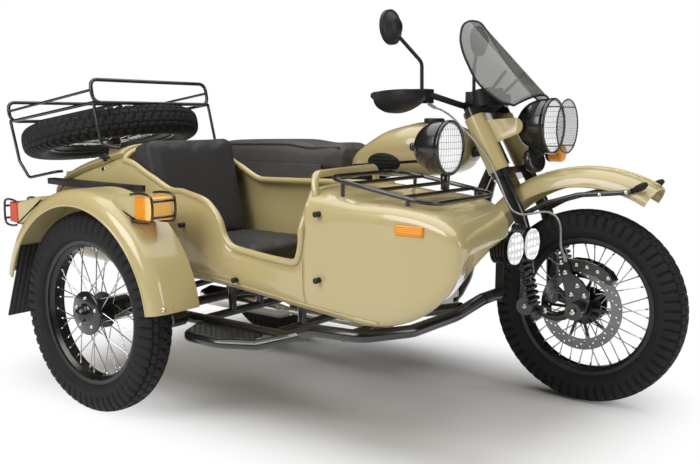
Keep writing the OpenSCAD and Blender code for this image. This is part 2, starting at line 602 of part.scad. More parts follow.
// Bowed strip between two offsets from the sheet's outer face
module screen_strip(a, b) {
    line = [for (k = [-8:8]) [k / 8 * screen_y, -screen_bow * pow(k / 8 * screen_y, 2)]];
    polygon(concat([for (p = line) p + [0, b]], [for (i = [len(line) - 1:-1:0]) line[i] + [0, a]]));
}
module windscreen() at_front() color([0.45, 0.45, 0.42, 0.6]) on_screen() intersection() {
    linear_extrude(screen_len) screen_strip(0, -screen_t);
    translate([0, 20, 0]) rotate([90, 0, 0]) linear_extrude(160) polygon(concat(
        [for (r = screen_rows) [r[1], r[0] * screen_len]],
        [for (i = [len(screen_rows) - 1:-1:0]) [-screen_rows[i][1], screen_rows[i][0] * screen_len]]));
}
module front_signal() at_front() {
    color(amber) translate([lamp_x - 66, 146, lamp_z - 102]) rotate([0, 90, 0]) cylinder(h = 56, r = 33);
    color(black) difference() {
        rod(leg_point(yoke_low + 85, leg_y + 20), [lamp_x - 50, 138, lamp_z - 100], 9);
        rod(leg_point(yoke_low, leg_y), leg_point(yoke_high, leg_y), cover_d / 2 + seat_gap);
    }
}
caliper_l = 140;
module front_caliper() at_front() color(black) {
    r = front_disc_d / 2;
    inner = leg_y - 24 - seat_gap;
    rotate([0, -8, 0]) {
        for (s = [-1, 1]) translate([-caliper_l / 2, -disc_y + s * 16 - 8, r * 0.72]) cube([caliper_l, 16, 60]);
        translate([-caliper_l / 2, -disc_y - 24, r + 8]) cube([caliper_l, 48, 20]);
    }
    difference() {
        hull() {
            translate([-30, -inner, r * 0.8]) cube([50, 12, 30]);
            translate([-24, -inner, -24]) cube([48, 12, 40]);
        }
        about_y() cylinder(h = 300, r = axle_d / 2 + seat_gap, center = true);
    }
}

// Sidecar body: x, outer inset, inner inset, bottom, top, corner exponent
body_stations = [[-tail_x, 120, 70, 200, 360, 0.8], [-tail_x + 14, 62, 30, 150, 402, 0.6],
    [-tail_x + 60, 44, 14, 112, 434, 0.46], [-200, 42, 4, 104, 468, 0.4], [-60, 40, 0, 102, 505, 0.36],
    [100, 38, 0, 102, 545, 0.36], [230, 36, 0, 102, 490, 0.36], [360, 33, 0, 100, 438, 0.36],
    [520, 28, 0, 96, 440, 0.36], [760, 16, 0, 82, 446, 0.36], [980, 2, 0, 64, 450, 0.36],
    [1190, 0, 4, 58, 420, 0.38], [1265, 10, 8, 70, 408, 0.42], [1300, 20, 12, 118, 403, 0.46],
    [1340, 38, 18, 190, 398, 0.5], [1380, 66, 30, 262, 393, 0.56], [nose_x - 22, 100, 52, 298, 380, 0.64],
    [nose_x - 6, 132, 78, 314, 366, 0.72], [nose_x, 165, 104, 326, 352, 0.85]];
function body_ring(s, t) = ring_x(s[0] < 0 ? max(s[0], -tail_x + t) : min(s[0], nose_x - t),
    (body_out + s[1] + body_in - s[2]) / 2, (s[3] + s[4]) / 2,
    (body_in - s[2] - body_out - s[1]) / 2 - t, (s[4] - s[3]) / 2 - t, s[5], 32);
// Height of the body's floor or roof line at x, column 3 or 4
function body_line(x, c) = lookup(x, [for (s = body_stations) [s[0], s[c]]]);
body_mid = (body_out + body_in) / 2 + 10;
module body_skin(g) loft([for (s = body_stations) body_ring(s, -g)]);
module body_room(g) loft([for (i = [1:len(body_stations) - 2]) body_ring(body_stations[i], body_t + g)]);
sill_z = 234;
cowl_x = 966;
bulkhead_x = 95;
hinge_x = -tail_x;
hinge_z = 430;
hinge_r = 6;
lug_y = [body_out + 120, body_in - 90];
lug_w = 26;
module sidecar_body() at_sidecar() color(paint) {
    difference() {
        body_skin(0);
        difference() {
            body_room(0);
            // Bulkhead between the seat and the trunk
            translate([bulkhead_x, 0, 300]) rotate([0, -8, 0]) cube([body_t, 4000, 1200], center = true);
        }
        // Cockpit opening from above
        translate([0, 0, 300]) linear_extrude(400) polygon([[92, body_out + 54], [92, body_in - 34],
            [cowl_x, body_in - 56], [cowl_x, body_out + 50]]);
        // Entry cut through the outer side
        translate([0, body_out + 90, 0]) rotate([90, 0, 0]) linear_extrude(300) polygon([[118, 700], [118, 540],
            [256, 454], [390, 412], [523, 388], [562, 367], [600, 327], [621, 281], [658, 250], [711, sill_z + 8],
            [911, sill_z - 6], [945, sill_z], [cowl_x, 269], [cowl_x, 700]]);
        // Trunk opening under the lid
        translate([-230, body_out + 100, 330]) cube([260, body_in - body_out - 160, 300]);
    }
    // Hinge lugs and pin of the trunk lid
    for (y = lug_y) translate([hinge_x - 8, y, hinge_z - 70]) cube([24, lug_w, 82]);
    rod([hinge_x, lug_y[0], hinge_z], [hinge_x, lug_y[1] + lug_w, hinge_z], hinge_r);
}
module cockpit_rail() at_sidecar() color(paint) difference() {
    tube([[992, body_out + 44, 400], [966, body_out + 50, 494], [886, body_in - 44, 494], [876, body_in - 30, 400]],
        12, 40);
    body_skin(seat_gap);
}
cushion_w = body_in - body_out - 104;
cushion_z = 228;
module seat_base() at_sidecar() color(vinyl) intersection() {
    translate([262, body_out + 30, 100]) cube([390, body_in - body_out, cushion_z - 100]);
    body_room(seat_gap);
}
module seat_back() at_sidecar() color(vinyl) translate([190, body_mid - cushion_w / 2, cushion_z - 17.6])
    rotate([0, -14, 0]) cube([cushion_t, cushion_w, 366]);
// Sidecar fender: crown, rounded outer shoulder and lip, inner skirt
shoulder = 46;
fender_low = 8;
fender_span = 158;
module sidecar_fender() at_sidecar_axle() color(paint) {
    r = fender_r;
    t = fender_t;
    rotate([90, 0, 0]) rotate([0, 0, fender_low]) rotate_extrude(angle = fender_span) polygon(concat(
        [for (a = [90:-15:0]) [r - shoulder + shoulder * sin(a), fender_out - shoulder + shoulder * cos(a)]],
        [[r - shoulder - 6, fender_out], [r - shoulder - 6, fender_out - t]],
        [for (a = [0:15:90]) [r - shoulder + (shoulder - t) * sin(a), fender_out - shoulder + (shoulder - t) * cos(a)]],
        [[r - t, -fender_in + t], [r - 60, -fender_in + t], [r - 60, -fender_in], [r, -fender_in]]));
    // Stays to the body
    difference() {
        for (a = [60, 120]) rotate([0, -a, 0]) translate([r - 30, 0, 0]) rod([0, fender_in - 2, 0],
            [0, body_out + 60, 0], 8);
        translate([-sidecar_lead, 0, 0]) body_skin(seat_gap);
    }
}
flap_t = 6;
module mud_flap() at_sidecar_axle() color(rubber) {
    r = fender_r - fender_t - seat_gap;
    a = [r * cos(152), r * sin(152)];
    b = [r * cos(166), r * sin(166)];
    d = unit(b - a);
    end = a + d * 290;
    n = [-d.y, d.x] * -flap_t;
    translate([0, fender_in - 14, 0]) rotate([90, 0, 0]) linear_extrude(fender_out + fender_in - shoulder - 14)
        polygon([a, end, end - n, a - n]);
}
// Lamp pods on the sidecar fender's front and rear: near edge of each housing from the axle
pods = [fender_r * [0.645, 0.8], fender_r * [-0.83, 0.65]];
module fender_lamps() at_sidecar_axle() {
    color(black) difference() {
        union() {
            hull() {
                translate([fender_r * 0.45, -26, fender_r * 0.83]) cube([30, 60, 44]);
                translate([pods[0].x, -44, pods[0].y]) cube([22, 88, 76]);
            }
            hull() {
                translate([fender_r * -0.782, -26, fender_r * 0.62]) cube([20, 60, 70]);
                translate([pods[1].x - 30, -44, pods[1].y]) cube([30, 88, 84]);
            }
            for (i = [0, 1]) {
                s = 1 - 2 * i;
                translate([pods[i].x, 0, pods[i].y]) tube([[s * 12, -36, 66], [s * 12, -58, 88], [s * 104, -58, 88],
                    [s * 104, -58, -6], [s * 12, -58, -6], [s * 12, -36, 8]], 5, 10, 8);
            }
        }
        about_y() linear_extrude(400, center = true) polygon([for (a = [0:7.5:352.5])
            (fender_r + seat_gap) / cos(3.75) * [cos(a), sin(a)]]);
    }
    color(amber) translate([pods[0].x + 22, -44, pods[0].y + 2]) cube([56, 88, 72]);
    color("darkred") translate([pods[1].x - 82, -44, pods[1].y + 2]) cube([52, 88, 80]);
}
module fender_pad() at_sidecar() color(rubber) difference() {
    translate([-70, 104, 404]) linear_extrude(18) polygon([[-270, 96], [-270, 66], [-220, 34], [-60, 12], [120, 22],
        [290, 66], [290, 96]]);
    body_skin(seat_gap);
}
arm_pin = [430, -12];
arm_y = 100;
rail_y = 196;
coil_top = [sidecar_lead + 78, 290];
module sidecar_swing_arm() at_sidecar() color(black) {
    difference() {
        union() {
            translate([arm_pin.x, arm_y - 6, arm_pin.y]) about_y() cylinder(h = 60, r = 26);
            tube([[arm_pin.x - 10, arm_y + 22, arm_pin.y], [320, arm_y + 8, -6], [sidecar_lead, arm_y, 0]], 18, 90);
        }
        translate([arm_pin.x, 0, arm_pin.y]) about_y() cylinder(h = 300, r = 12 + seat_gap);
    }
    translate([sidecar_lead, hub_end + 8, 0]) about_y() cylinder(h = 66, r = 40);
    rod([sidecar_lead, -hub_end - 24, 0], [sidecar_lead, arm_y + 30, 0], axle_d / 2);
    rod([sidecar_lead + 54, arm_y, 2], [sidecar_lead + 54, arm_y + 56, 2], pin_r);
    rod([coil_top.x, arm_y + 24, coil_top.y], [coil_top.x, body_out + 35.2, coil_top.y], pin_r);
    strut([sidecar_lead + 54, arm_y + 42, 2], [coil_top.x, arm_y + 42, coil_top.y], 20, pin_r - 2 * seat_gap);
    // Cross shaft from the final drive
    drive = [16, track - drive_y - seat_gap, 0];
    rod(drive, drive - [0, 40, 0], 22);
    rod(drive - [0, 30, 0], [sidecar_lead, arm_y + 16, 0], 13);
}
deck_z = -chassis_drop;
chassis_r = chassis_d / 2;
inner_y = track - 490;
step_x = sidecar_lead + tyre_d / 2 + 28;
step_y = 58;
step_z = deck_z - 20;
nose_tube_z = 30;
lamp_post = [nose_x - 140, track - 348, 78];
// Cross tubes under the body: x, height
body_posts = [[480, deck_z], [800, deck_z], [1080, nose_tube_z - 14]];
module clamp(x, p) difference() {
    union() {
        translate([x - 26, track - cradle_y, cradle_z]) rotate([0, 90, 0]) cylinder(h = 52, r = frame_d / 2 + 9);
        rod(p, [x, track - cradle_y, cradle_z], chassis_r - 5);
    }
    translate([x - 90, track - cradle_y, cradle_z]) rotate([0, 90, 0]) cylinder(h = 180, r = frame_d / 2 + seat_gap);
}
// Outer rail, round the nose to the lamp bracket, and inner rail with the rear cross tube, grown by g
module outer_rail(g) tube([[230, rail_y, deck_z], [860, rail_y, deck_z], [980, rail_y - 14, nose_tube_z - 6],
    [1150, rail_y - 6, nose_tube_z], [nose_x - 194, 330, nose_tube_z + 2], [nose_x - 174, inner_y - 80, nose_tube_z + 10],
    [lamp_post.x, lamp_post.y - 112, lamp_post.z], lamp_post], chassis_r + g, 60);
module inner_rail(g) tube([[262, rail_y, deck_z], [262, inner_y, deck_z], [1080, inner_y, deck_z + 30],
    [1240, inner_y - 20, nose_tube_z + 22]], chassis_r - 2 + g, 34);
// Each tube butts on the rail that carries it
module sidecar_chassis() at_sidecar() color(black) {
    outer_rail(0);
    difference() {
        union() {
            inner_rail(0);
            // Swinging arm's pin
            rod([arm_pin.x, arm_y - 10, arm_pin.y], [arm_pin.x, rail_y, arm_pin.y], 12);
            // Step hoop
            tube([[step_x - 65, rail_y, step_z], [step_x, step_y + 4, step_z], [step_x + 145, step_y + 6, step_z],
                [step_x + 255, 120, step_z], [step_x + 385, rail_y - 10, nose_tube_z - 30]], 16, 50);
        }
        outer_rail(seat_gap);
    }
    difference() {
        for (c = body_posts) {
            rod([c[0], rail_y, c[1]], [c[0], inner_y, c[1]], chassis_r - 6);
            for (y = [body_mid - 80, body_mid + 60]) translate([c[0], y, c[1]]) cylinder(
                h = min(body_line(c[0] - 14, 3), body_line(c[0] + 14, 3)) - c[1] - seat_gap, r = 14);
        }
        outer_rail(seat_gap);
        inner_rail(seat_gap);
    }
    // Struts to the motorcycle frame
    difference() {
        union() {
            clamp(back_x + 80, [300, inner_y, deck_z]);
            clamp(cradle_front - 90, [1060, inner_y, deck_z + 28]);
            rod([960, inner_y, deck_z + 24], flip(down_tube[0] * 0.4 + down_tube[1] * 0.6) + [0, track, 0],
                chassis_r - 8);
            rod([300, inner_y, deck_z], flip(upright[0] * 0.3 + upright[1] * 0.7) + [0, track, 0], chassis_r - 8);
        }
        inner_rail(seat_gap);
        rod(flip(down_tube[0]) + [0, track, 0], flip(down_tube[1]) + [0, track, 0], frame_d / 2 + seat_gap);
        rod(flip(upright[0]) + [0, track, 0], flip(upright[1]) + [0, track, 0], frame_d / 2 + seat_gap);
    }
}
function flip(p) = [p.x, -p.y, p.z];
step_t = 5;
module step_plate() at_sidecar() color(black) translate([0, 0, step_z + 16 + seat_gap])
    linear_extrude(step_t) polygon([[step_x - 37, rail_y - chassis_r - 4], [step_x + 5, step_y], [step_x + 145, step_y],
        [step_x + 245, 118], [step_x + 235, rail_y - chassis_r - 4]]);
rack_x = [1010, nose_x - 60];
rack_slat = (rack_x[1] - rack_x[0]) / 4;
function rack_height(x) = lookup(x, [[rack_x[0], 488], [rack_x[1], 430]]);
module nose_rack() at_sidecar() color(black) difference() {
    r = rod_d / 2;
    o = body_out + 56;
    i = body_in - 80;
    z = [rack_height(rack_x[0]), rack_height(rack_x[1])];
    union() {
        tube([[rack_x[0], i - 80, z[0]], [rack_x[0], o, z[0]], [rack_x[1], o, z[1]], [rack_x[1], i, z[1]],
            [rack_x[0], i, z[0]], [rack_x[0], i - 75, z[0]]], r, 60, 8);
        rod([rack_x[0], i - 60, z[0]], [rack_x[0], i - 95, z[0]], r + 1);
        for (k = [1:3]) let (x = rack_x[0] + k * rack_slat) rod([x, o, rack_height(x)], [x, i, rack_height(x)], r - 1);
        for (x = [rack_x[0] + 60, rack_x[1] - 75], y = [o + 3, i - 3]) rod([x, y, rack_height(x)], [x, y, 350], r - 1);
    }
    body_skin(seat_gap);
}
spot = [rack_x[0] + 3 * rack_slat + 12, body_mid + 8, 575];
spot_r = 80;
module spot_lamp() at_sidecar() {
    color(black) {
        translate(spot) rotate([0, 90, 0]) rotate_extrude() polygon(concat(
            [for (a = [0:15:90]) [spot_r * sin(a), -10 - 100 * pow(cos(a), 0.8)]], [[spot_r, 0], [0, 0]]));
        rod([spot.x - 12, spot.y, rack_height(spot.x - 12) + rod_d / 2 - 1 + seat_gap],
            [spot.x - 12, spot.y, spot.z - 60], 12);
    }
    color(lens) translate(spot) rotate([0, 90, 0]) cylinder(h = 12, r1 = spot_r - 4, r2 = spot_r - 14);
}
twin_z = 246;
twin_x = lamp_post.x + 20;
twin_l = 62;
twin_r = 54;
module twin_lamps() at_sidecar() {
    for (y = [lamp_post.y - 58, lamp_post.y + 68]) translate([twin_x, y, twin_z]) rotate([0, 90, 0]) {
        color(black) for (k = [0:4]) translate([0, 0, k * 11]) cylinder(h = 7, r = twin_r);
        color(black) translate([0, 0, 2]) cylinder(h = twin_l - 2, r = twin_r - 10);
        color(lens) translate([0, 0, twin_l]) cylinder(h = 8, r = twin_r - 2);
    }
    color(black) {
        translate([twin_x - 14, lamp_post.y - 40, twin_z - 44]) cube([18, 94, 36]);
        translate([lamp_post.x - 12, lamp_post.y + seat_gap, lamp_post.z - 26]) cube([26, 10, twin_z - lamp_post.z]);
    }
}
// Trunk lid: follows the body's roof line behind the seat
lid_gap = 5;
lid_t = 14;
lid_x = [-tail_x + 23, 88];
lid_y = [body_out + 66, body_in - 26];
lid_points = [for (x = [lid_x[0], -285, -200, -60, lid_x[1]]) [x, body_line(x, 4) + lid_gap]];
module trunk_lid() at_sidecar() color(paint) difference() {
    union() {
        translate([0, lid_y[1], 0]) rotate([90, 0, 0]) linear_extrude(lid_y[1] - lid_y[0]) polygon(concat(lid_points,
            [for (i = [len(lid_points) - 1:-1:0]) lid_points[i] + [0, lid_t]]));
        // Knuckles round the hinge pin
        for (y = lug_y) translate([0, y + lug_w + 1, 0]) {
            rod([hinge_x, 0, hinge_z], [hinge_x, 30, hinge_z], hinge_r + 6);
            translate([hinge_x, 0, hinge_z - 5]) cube([44, 30, 12]);
        }
        // Spare wheel post
        on_spare() translate([0, 0, -post_l]) cylinder(h = post_l - hub_end - seat_gap, r = 25);
    }
    rod([hinge_x, 0, hinge_z], [hinge_x, 900, hinge_z], hinge_r + axle_gap);
}
post_l = 131;
module on_spare() translate([spare.x, (lid_y[0] + lid_y[1]) / 2, spare.y]) rotate([0, -lid_pitch, 0]) children();
module spare_tyre() at_sidecar() on_spare() rotate([90, 0, 0]) tyre();
module spare_wheel() at_sidecar() on_spare() rotate([90, 0, 0]) wire_wheel();
// Luggage rack in the spare wheel's plane: two hoops, slats and side rails
hoop_x = tyre_d * [-0.367, 0.4075];
hoop_y = max(tyre_d * 0.405, (lid_y[1] - lid_y[0]) / 2 + 30);
hoop_h = [76, 84];
rack_low = [tyre_w / 2 + 48, tyre_w / 2 + 8];
module luggage_rack() at_sidecar() on_spare() color(black) {
    r = rod_d / 2;
    for (e = [0, 1]) tube([[hoop_x[e], 4, rack_low[e]], [hoop_x[e], hoop_y, rack_low[e]],
        [hoop_x[e], hoop_y, rack_low[e] + hoop_h[e]], [hoop_x[e], -hoop_y, rack_low[e] + hoop_h[e]],
        [hoop_x[e], -hoop_y, rack_low[e]], [hoop_x[e], -4, rack_low[e]]], r, 28, 8);
    for (y = [-hoop_y, -150, 0, 150, hoop_y]) rod([hoop_x[0], y, rack_low[0]], [hoop_x[1], y, rack_low[1]], r - 1);
    for (y = [-hoop_y, hoop_y]) rod([hoop_x[0], y, rack_low[0] + 40], [hoop_x[1], y, rack_low[1] + 46], r - 2);
    // Legs to the lid's sides
    foot = (lid_y[1] - lid_y[0]) / 2 + seat_gap;
    both_sides() {
        tube([[hoop_x[0], hoop_y, rack_low[0]], [hoop_x[0] + 16, hoop_y, -60], [-190, hoop_y, -134],
            [-54, foot + 24, -134], [-54, foot, -134]], r - 1, 20, 8);
        tube([[hoop_x[1], hoop_y, rack_low[1]], [hoop_x[1] + 8, hoop_y, -90], [312, foot + 24, -109],
            [312, foot, -109]], r - 1, 14, 8);
    }
}

frame_tubes();
engine_case();
cylinders();
intakes();
exhaust();
fuel_tank();
knee_pads();
rider_seat();
rear_fender();
tail_lamp();
rear_swing_arm();
rear_shocks();
fork();
fork_covers();
front_shocks();
front_fender();
fender_braces();
headlamp();
instruments();
handlebar();
hand_guards();
mirrors();
windscreen();
front_signal();
front_caliper();
front_tyre();
front_wheel();
rear_tyre();
rear_wheel();
sidecar_tyre();
sidecar_wheel();
sidecar_chassis();
sidecar_body();
cockpit_rail();
seat_base();
seat_back();
sidecar_fender();
mud_flap();
fender_lamps();
fender_pad();
sidecar_swing_arm();
step_plate();
nose_rack();
spot_lamp();
twin_lamps();
trunk_lid();
spare_tyre();
spare_wheel();
luggage_rack();
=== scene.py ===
import bpy
import numpy as np
from mathutils import Matrix


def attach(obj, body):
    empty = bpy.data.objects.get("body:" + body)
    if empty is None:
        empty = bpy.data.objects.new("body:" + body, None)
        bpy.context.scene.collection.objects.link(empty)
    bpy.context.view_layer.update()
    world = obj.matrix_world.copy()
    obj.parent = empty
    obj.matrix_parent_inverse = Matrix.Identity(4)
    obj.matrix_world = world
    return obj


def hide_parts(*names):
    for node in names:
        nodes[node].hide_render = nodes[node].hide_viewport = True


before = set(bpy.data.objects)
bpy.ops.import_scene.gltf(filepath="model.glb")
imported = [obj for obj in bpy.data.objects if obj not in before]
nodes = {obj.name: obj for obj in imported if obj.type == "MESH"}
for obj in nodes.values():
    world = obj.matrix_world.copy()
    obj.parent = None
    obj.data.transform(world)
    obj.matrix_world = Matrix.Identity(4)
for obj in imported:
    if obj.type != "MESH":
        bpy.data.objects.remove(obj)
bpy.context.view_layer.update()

# Studio
# A pale floor that the lamps light close round the machine and that glows white beyond it, a painted glow in place of
# light so that shadow shows only close under the machine. It runs out into white walls, under one very large overhead
# softbox, with a weaker one at the camera's left and another ahead. The camera stands ahead of the sidecar, at about
# the height of its nose lamp.
bpy.context.scene.view_settings.view_transform = "Standard"


class Coat:
    """One socket in a finish. Sums, products and comparisons with numbers or other coats add Math nodes."""

    def __init__(self, tree, socket):
        self.tree, self.socket = tree, socket

    def node(self, kind, settings, sockets, outlet=0):
        """Adds a shader node: its settings first, then the value or the link of each socket."""
        made = self.tree.nodes.new("ShaderNode" + kind)
        for name, value in settings.items():
            if name == "stops":
                stops = made.color_ramp.elements
                for _ in range(len(value) - len(stops)):
                    stops.new(1.0)
                for stop, (at, colour) in zip(stops, value):
                    stop.position, stop.color = at, colour
            else:
                setattr(made, name, value)
        for name, value in sockets.items():
            if isinstance(value, Coat):
                self.tree.links.new(value.socket, made.inputs[name])
            else:
                made.inputs[name].default_value = value
        return Coat(self.tree, made.outputs[outlet])

    def math(self, operation, *values):
        return self.node("Math", {"operation": operation}, dict(enumerate(values)))

    def parts(self):
        """X, Y and Z of a place, as three coats."""
        split = self.node("SeparateXYZ", {}, {"Vector": self})
        return [Coat(self.tree, outlet) for outlet in split.socket.node.outputs]

    def __add__(self, other):
        return self.math("ADD", self, other)

    def __sub__(self, other):
        return self.math("SUBTRACT", self, other)

    def __rsub__(self, other):
        return self.math("SUBTRACT", other, self)

    def __mul__(self, other):
        return self.math("MULTIPLY", self, other)

    def __truediv__(self, other):
        return self.math("DIVIDE", self, other)

    def __gt__(self, other):
        return self.math("GREATER_THAN", self, other)

    def __lt__(self, other):
        return self.math("LESS_THAN", self, other)

    def __pow__(self, other):
        return self.math("POWER", self, other)

    __radd__, __rmul__ = __add__, __mul__


def finish(name, **constants):
    """Material with one shader whose constants sit on its own sockets. Returns the material, a function that feeds
    one of its sockets, and the place on the piece."""
    made = bpy.data.materials.new(name)
    made.use_nodes = True
    tree = made.node_tree
    shader = tree.nodes["Principled BSDF"]
    for socket, value in constants.items():
        shader.inputs[socket.replace("_", " ")].default_value = value
    place = Coat(tree, tree.nodes.new("ShaderNodeTexCoord").outputs["Object"])
    return made, lambda socket, coat: tree.links.new(coat.socket, shader.inputs[socket]), place


def mottle(place, scale, detail=3.0):
    """Cloudy noise from 0 to 1, so many lumps a metre."""
    return place.node("TexNoise", {}, {"Vector": place, "Scale": scale, "Detail": detail})


def tint(mask, low, high):
    """Colour between low and high at a mask's value."""
    return mask.node("Mix", {"data_type": "RGBA"}, {0: mask, 6: low, 7: high}, 2)


def relief(height, depth, strength=1.0):
    """Normal of a surface raised by a height from 0 to 1 times a depth in metres."""
    return height.node("Bump", {}, {"Strength": strength, "Distance": depth, "Height": height})


def grey(level, warm=0.0):
    """Colour of one level, a little warmer where asked."""
    return (level * (1 + warm), level, level * (1 - warm), 1)


floor_half = 14.0
sheet_mesh = bpy.data.meshes.new("studio_floor")
sheet_mesh.from_pydata([(-floor_half, -floor_half, 0), (floor_half, -floor_half, 0), (floor_half, floor_half, 0),
                        (-floor_half, floor_half, 0)], [], [(0, 1, 2, 3)])
# Floor finish with a painted glow: inside a rounded box round the machine the floor is pale grey and lit by the lamps.
# Beyond it the floor is black and glows white instead, so it takes no shadow there.
glowing_floor_finish, feed, place = finish("glowing_studio_floor", Roughness=0.7, Specular_IOR_Level=0.2, Emission_Strength=1.0)
shadow_reach = 0.8, 0.36
past, beside = (v.math("MAXIMUM", v.math("ABSOLUTE", v) - reach, 0.0)
                for v, reach in zip(place.parts(), shadow_reach))
# far runs from 0 inside the box to 1 beyond it. It turns the floor's colour to black and its painted glow to white.
far = past.node("MapRange", {"interpolation_type": "SMOOTHSTEP"},
                {"Value": (past * past + beside * beside) ** 0.5, "From Min": 0.0, "From Max": 0.55})
feed("Base Color", tint(far, grey(0.8, 0.01), grey(0.0)))
feed("Emission Color", tint(far, grey(0.0), grey(1.0)))
sheet_mesh.materials.append(glowing_floor_finish)
floor = bpy.data.objects.new("studio_floor", sheet_mesh)
bpy.context.scene.collection.objects.link(floor)
sky = bpy.data.worlds.new("studio_air")
sky.use_nodes = True
sky.node_tree.nodes["Background"].inputs["Color"].default_value = (1, 1, 1, 1)
sky.node_tree.nodes["Background"].inputs["Strength"].default_value = 1.0
bpy.context.scene.world = sky
sky.cycles_visibility.diffuse = sky.cycles_visibility.glossy = False


def aim(place, look, roll=0.0):
    """Object matrix at a place whose -Z axis runs along look, its X axis level and then rolled about look."""
    look = np.array(look, float) / np.linalg.norm(look)
    right = np.cross(look, (0, 0, 1))
    right = right / np.linalg.norm(right) if np.linalg.norm(right) > 1e-6 else np.array((1.0, 0, 0))
    up = np.cross(right, look)
    turned = right * np.cos(roll) + up * np.sin(roll)
    made = np.eye(4)
    made[:3, :4] = np.stack([turned, np.cross(turned, look), -look, place], 1)
    return Matrix(made.tolist())


def softbox(name, place, target, size, watts):
    """Square area lamp at a place, facing a target."""
    lamp = bpy.data.lights.new(name, "AREA")
    lamp.size, lamp.energy = size, watts
    stand = bpy.data.objects.new(name, lamp)
    stand.matrix_world = aim(place, np.subtract(target, place))
    bpy.context.scene.collection.objects.link(stand)


softbox("overhead_softbox", (0.1, 0.1, 3.9), (0.1, 0.0, 0), 5.0, 165)
softbox("left_softbox", (-0.6, -4.0, 3.0), (-0.2, -0.5, 0.4), 2.6, 130)
softbox("front_softbox", (4.6, 0.2, 2.0), (0.3, -0.1, 0.6), 1.8, 45)
yaw, pitch, roll = np.radians((36.57, 7.92, 0.33))
camera = bpy.data.objects.new("camera", bpy.data.cameras.new("camera"))
camera.data.sensor_width, camera.data.lens = 36.0, 42.95
camera.matrix_world = aim((1.93169, -2.493, 1.013), (-np.sin(yaw) * np.cos(pitch), np.cos(yaw) * np.cos(pitch),
                                                       -np.sin(pitch)), roll)
bpy.context.scene.collection.objects.link(camera)
bpy.context.scene.camera = camera

# Front brake hose
# A braided steel hose, 0.85 m long and bare. It runs from the master cylinder on the right grip down
# behind the fork leg, forward over the link's strut and into the top of the caliper, with a crimped end at each.
REAR_AXLE = np.array((-0.59931, 0.366, 0.346))


def bike(p):
    """Place on the motorcycle: millimetres ahead of the rear axle, left of the centre plane and above the axle."""
    return REAR_AXLE + np.asarray(p, float) / 1000


def front(p):
    """Place on the front end, in millimetres from the front axle."""
    return bike(np.asarray(p, float) + (1470, 0, 0))


def car(p):
    """Place on the sidecar: millimetres ahead of the rear axle, inboard of the wheel plane and above the axle."""
    return bike(np.asarray(p, float) + (0, -1130, 0))


def smooth_line(points, count):
    """Curve through the points with tangents along each point's neighbours, resampled to equal steps."""
    p = np.asarray(points, float)
    q = np.vstack([2 * p[0] - p[1], p, 2 * p[-1] - p[-2]])
    t = np.linspace(0, 1, 24, endpoint=False)[:, None]
    a, b, c, d = q[:-3, None], q[1:-2, None], q[2:-1, None], q[3:, None]
    line = 0.5 * (2 * b + (c - a) * t + (2 * a - 5 * b + 4 * c - d) * t ** 2 + (3 * b - a - 3 * c + d) * t ** 3)
    line = np.vstack([line.reshape(-1, 3), p[-1:]])
    run = np.concatenate([[0], np.cumsum(np.linalg.norm(np.diff(line, axis=0), axis=1))])
    at = np.linspace(0, run[-1], count)
    return np.stack([np.interp(at, run, line[:, k]) for k in range(3)], 1)


def carried_sides(line):
    """Two unit vectors square to a line at each point, carried along it with the least twist."""
    ahead = np.gradient(line, axis=0)
    ahead /= np.linalg.norm(ahead, axis=1)[:, None]
    first = np.cross(ahead[0], (0, 0, 1) if abs(ahead[0, 2]) < 0.9 else (0, 1, 0))
    sides = [first / np.linalg.norm(first)]
    for step in ahead[1:]:
        turned = sides[-1] - step * np.dot(sides[-1], step)
        sides.append(turned / np.linalg.norm(turned))
    sides = np.array(sides)
    return sides, np.cross(ahead, sides)


def quads(rows, cols, wrap_rows=False, wrap_cols=False):
    """Faces of a grid of points, row by row; a wrapped direction joins its last line to its first."""
    i, j = np.meshgrid(np.arange(rows if wrap_rows else rows - 1), np.arange(cols if wrap_cols else cols - 1),
                       indexing="ij")
    k, m = (i + 1) % rows, (j + 1) % cols
    return np.stack([i * cols + j, k * cols + j, k * cols + m, i * cols + m], -1).reshape(-1, 4).tolist()


def turned_over(faces):
    """The same faces seen from their other side."""
    return [face[::-1] for face in faces]


def piece(name, points, faces, coat, body, slot, smooth=True):
    """New piece from points in metres and faces, with its finish and the body that carries it. Its record slot is not
    used.
    """
    mesh = bpy.data.meshes.new(name)
    mesh.from_pydata(np.asarray(points, float).reshape(-1, 3).tolist(), [], faces)
    mesh.polygons.foreach_set("use_smooth", [smooth] * len(mesh.polygons))
    mesh.materials.append(coat)
    mesh.update()
    made = bpy.data.objects.new(name, mesh)
    bpy.context.scene.collection.objects.link(made)
    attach(made, body)
    return made


def tube(line, radius, sides=12):
    """Points and faces of a round tube along a line: a circle in the two carried sides at each point, capped."""
    line = np.asarray(line, float)
    e, f = carried_sides(line)
    a = 2 * np.pi * np.arange(sides) / sides
    r = np.broadcast_to(np.asarray(radius, float).reshape(-1, 1, 1), (len(line), 1, 1))
    ring = line[:, None] + r * (e[:, None] * np.cos(a)[:, None] + f[:, None] * np.sin(a)[:, None])
    last = (len(line) - 1) * sides
    ends = [list(range(sides)), list(range(last + sides - 1, last - 1, -1))]
    return ring.reshape(-1, 3), turned_over(quads(len(line), sides, wrap_cols=True) + ends)


def joined(*parts):
    """Several points-and-faces pairs as one."""
    points, faces, base = [], [], 0
    for p, f in parts:
        points.append(p)
        faces += [[i + base for i in face] for face in f]
        base += len(p)
    return np.vstack(points), faces


